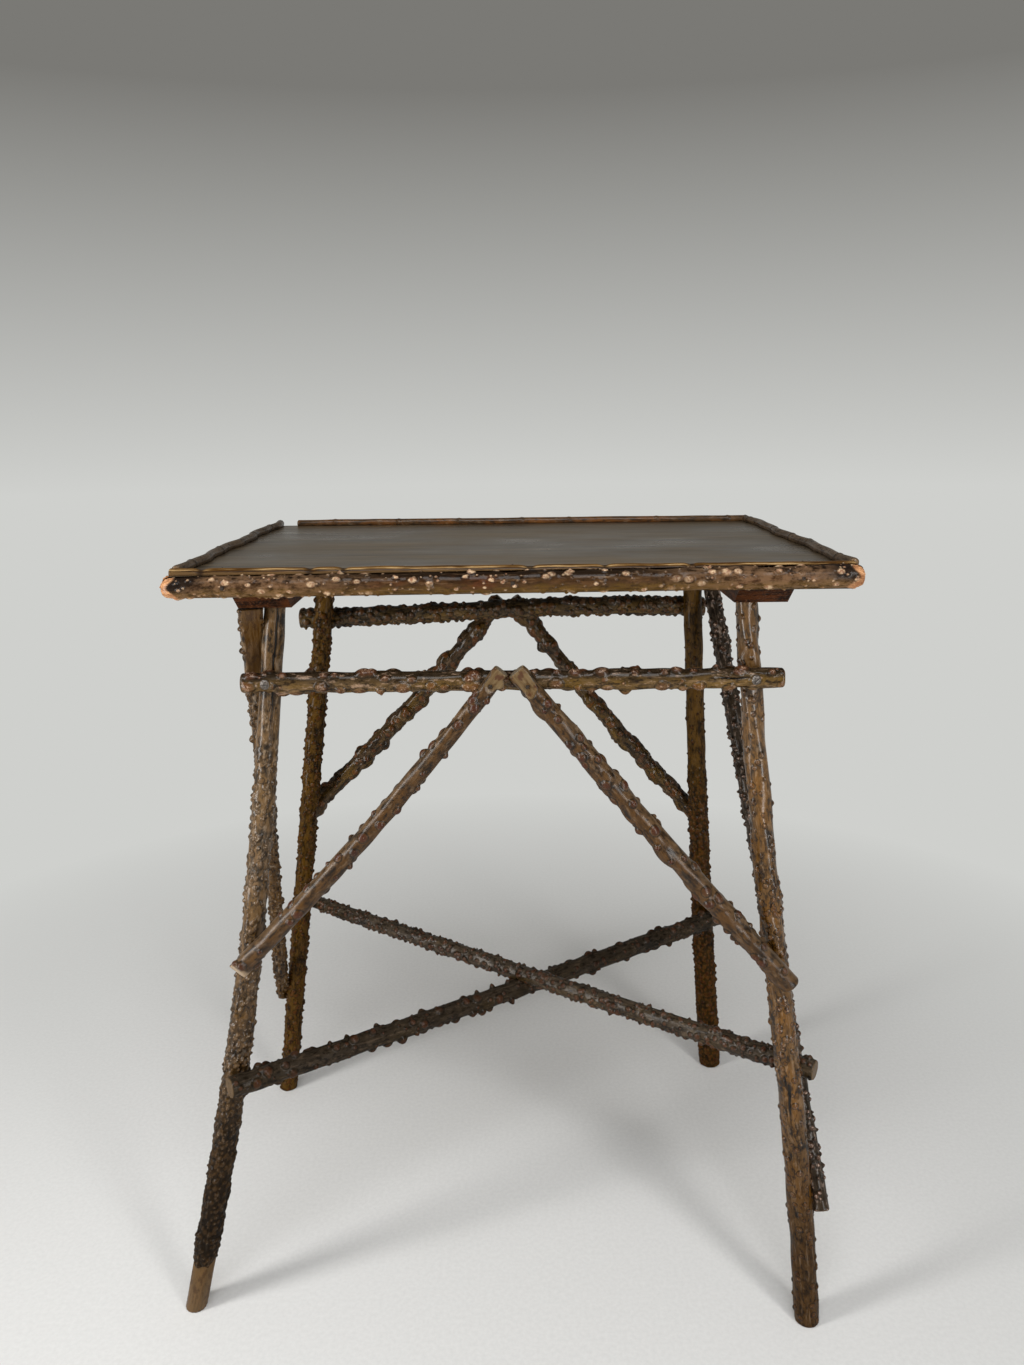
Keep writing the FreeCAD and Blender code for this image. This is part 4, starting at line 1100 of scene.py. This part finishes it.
ring_places = (0.25, 0.75)
ring_width = 1.6
ring_height = 0.5
twig_end = 1.5
twig_end_easing = 0.3
twig_sawn = 0.6


def gallery_twig(node, finish, ring_count, waves, seed):
    """A thin round twig in its box of the frame: it snakes to and fro, and swells at rings like bamboo's.

    The centre wanders across by a sum of two sine waves. A swelling is a narrow bell curve. The twig's
    underside is planed flat where it lies on the board.
    """
    rng = np.random.default_rng(seed)
    low, high = node_box(node)
    lengthways = int(high[1] - low[1] > high[0] - low[0])
    sideways = 1 - lengthways
    length = high[lengthways] - low[lengthways]
    room = max((high[sideways] - low[sideways]) / 2 - twig_radius, twig_room)
    t, along, turn, angle = unrolled_grid(length, twig_columns)
    phases = rng.uniform(0, 2 * math.pi, len(twig_waves))
    wander = sum(
        share * np.sin(rate * math.pi * waves * t + phase)
        for (share, rate), phase in zip(twig_waves, phases)
    )
    places = (np.arange(ring_count) + rng.uniform(*ring_places, ring_count)) / ring_count * length
    bell = np.exp(-(((along[..., None] - places) / ring_width) ** 2)).max(-1)
    near_end = np.minimum(along, length - along)
    eased = 1 - twig_end_easing * np.clip(1 - near_end / twig_end, 0, 1) ** 2
    lumps = twig_lumps * bark_lumps(along, turn, length, rng)
    reach = (twig_radius + lumps + ring_height * bell) * eased
    rise = np.maximum(reach * np.sin(angle), -twig_planed)
    side = reach * np.cos(angle)
    rings = np.zeros((*reach.shape, 3))
    rings[..., lengthways] = low[lengthways] + along
    rings[..., sideways] = (low[sideways] + high[sideways]) / 2 + room * wander[:, None] + side
    rings[..., 2] = low[2] + twig_planed + rise
    fields = {
        "unrolled": unrolled_place(side, rise, along),
        "wart": bell,
        "sawn": (near_end < twig_sawn).astype(float),
        "tone": np.full((1, 1), plain_tone),
        # How far each point faces up, which the finish uses for the painted light of the upper side
        "upper": np.sin(angle),
    }
    for absent in ("hollow_shade", "crack", "bare"):
        fields[absent] = np.zeros((1, 1))
    if lengthways == 1:
        rings, fields = turned_over(rings, fields)
    stand_for(skin(node + "_bark", rings * mm, fields, finish), node)


gallery_twig("left_gallery_twig", twig_bark, ring_count=4, waves=2.6, seed=72)
gallery_twig("right_gallery_twig", twig_bark, ring_count=5, waves=2.2, seed=73)
gallery_twig("rear_gallery_twig", rear_twig_bark, ring_count=7, waves=2.0, seed=74)


# Studio
# A pale floor that fades into a pale background, soft lights in front at both sides and one overhead, and
# the camera where the photograph was taken from.

background_low = paint(207, 208, 205)
background_high = paint(122, 121, 117)
background_start = -0.06
background_end = 0.27
floor_pale = paint(222, 222, 221)
floor_paler = paint(229, 229, 228)
floor_radius = 6.0
floor_corners = ((-1, -1, 0), (1, -1, 0), (1, 1, 0), (-1, 1, 0))
fade_start = 0.4
fade_end = 1.2
ambient_white = paint(255, 252, 246)
ambient_strength = 0.2


def seen_rays(tree):
    """1 for the rays that show the background itself: those of the camera, of gloss and of glass."""
    rays = add(tree, "ShaderNodeLightPath", {})
    seen = sums(tree, "MAXIMUM", rays.outputs["Is Camera Ray"], rays.outputs["Is Glossy Ray"])
    return sums(tree, "MAXIMUM", seen, rays.outputs["Is Transmission Ray"])


def floor_finish():
    """A pale matt floor; far from the table it turns into the plain colour of the background."""
    material, tree, shader = new_finish("studio_floor")
    place = object_place(tree)
    flat = stretched(tree, place, (1.0, 1.0, 0.0))
    far = add(tree, "ShaderNodeVectorMath", {0: flat}, operation="LENGTH").outputs["Value"]
    mottle = noise(tree, place, 240.0, roughness=0.55)
    colour = wash(tree, floor_pale, mottle, 0.3, 0.7, 1.0, floor_paler)
    wire(tree, shader, Base_Color=colour, Roughness=0.9, Specular_IOR_Level=0.1)
    glow = add(tree, "ShaderNodeEmission", {"Color": background_low, "Strength": 1.0}).outputs["Emission"]
    shown = sums(tree, "MULTIPLY", spread(tree, far, fade_start, fade_end), seen_rays(tree))
    mixed = add(tree, "ShaderNodeMixShader", {0: shown, 1: shader.outputs[0], 2: glow})
    tree.links.new(mixed.outputs["Shader"], tree.nodes["Material Output"].inputs["Surface"])
    return material


floor_mesh = bpy.data.meshes.new("studio_floor")
floor_mesh.from_pydata((np.array(floor_corners) * floor_radius).tolist(), [], [(0, 1, 2, 3)])
floor_mesh.materials.append(floor_finish())
floor = bpy.data.objects.new("studio_floor", floor_mesh)
bpy.context.scene.collection.objects.link(floor)

world = bpy.data.worlds.new("studio_world")
bpy.context.scene.world = world
world.use_nodes = True
sky = world.node_tree
direction = add(sky, "ShaderNodeTexCoord", {}).outputs["Generated"]
skywards = add(sky, "ShaderNodeSeparateXYZ", {"Vector": direction}).outputs["Z"]
background = wash(sky, background_low, skywards, background_start, background_end, 1.0, background_high)
plain = add(sky, "ShaderNodeBackground", {"Color": background, "Strength": 1.0})
ambient = add(sky, "ShaderNodeBackground", {"Color": ambient_white, "Strength": ambient_strength})
both = add(sky, "ShaderNodeMixShader", {0: seen_rays(sky), 1: ambient.outputs[0], 2: plain.outputs[0]})
sky.links.new(both.outputs["Shader"], sky.nodes["World Output"].inputs["Surface"])


def soft_light(name, place, target, width, height, watts, colour):
    """A flat soft light that faces a point."""
    light = bpy.data.lights.new(name, "AREA")
    light.shape = "RECTANGLE"
    light.size = width
    light.size_y = height
    light.energy = watts
    light.color = colour
    lamp = bpy.data.objects.new(name, light)
    lamp.location = place
    lamp.visible_camera = False
    lamp.rotation_euler = (Vector(target) - Vector(place)).to_track_quat("-Z", "Y").to_euler()
    bpy.context.scene.collection.objects.link(lamp)


table_middle = (0.0, 0.0, 0.4)
above_table = (0.0, 0.0, 1.0)
warm_white = (1.0, 0.99, 0.97)
cool_white = (0.98, 0.99, 1.0)
soft_light(
    "left_lamp", place=(-1.2, -0.7, 1.0), target=above_table, width=0.28, height=1.9, watts=21.0,
    colour=warm_white,
)
soft_light(
    "right_lamp", place=(1.0, -1.5, 1.0), target=above_table, width=0.32, height=1.9, watts=19.0,
    colour=warm_white,
)
soft_light(
    "overhead_lamp", place=(0.0, -1.2, 2.4), target=table_middle, width=1.2, height=1.0, watts=24.0,
    colour=cool_white,
)

# The lens takes in 1365 picture units of height at a distance of 1025, and the camera tips down and rolls
picture_height = 1365.0
picture_distance = 1025.0
tip_down = math.radians(14.4)
roll = math.radians(-0.65)
camera_place = Vector((17.67, -980.24, 819.0)) * mm
forward = Vector((0.0, math.cos(tip_down), -math.sin(tip_down)))
level_right = Vector((1.0, 0.0, 0.0))
level_up = level_right.cross(forward)
camera_right = level_right * math.cos(roll) + level_up * math.sin(roll)
camera_up = level_up * math.cos(roll) - level_right * math.sin(roll)
lens = bpy.data.cameras.new("photo_camera")
lens.sensor_fit = "VERTICAL"
lens.lens = lens.sensor_height * picture_distance / picture_height
camera = bpy.data.objects.new("photo_camera", lens)
turned = Matrix((camera_right, camera_up, -forward)).transposed().to_4x4()
camera.matrix_world = Matrix.Translation(camera_place) @ turned
bpy.context.scene.collection.objects.link(camera)
bpy.context.scene.camera = camera
bpy.context.scene.view_settings.view_transform = "Standard"
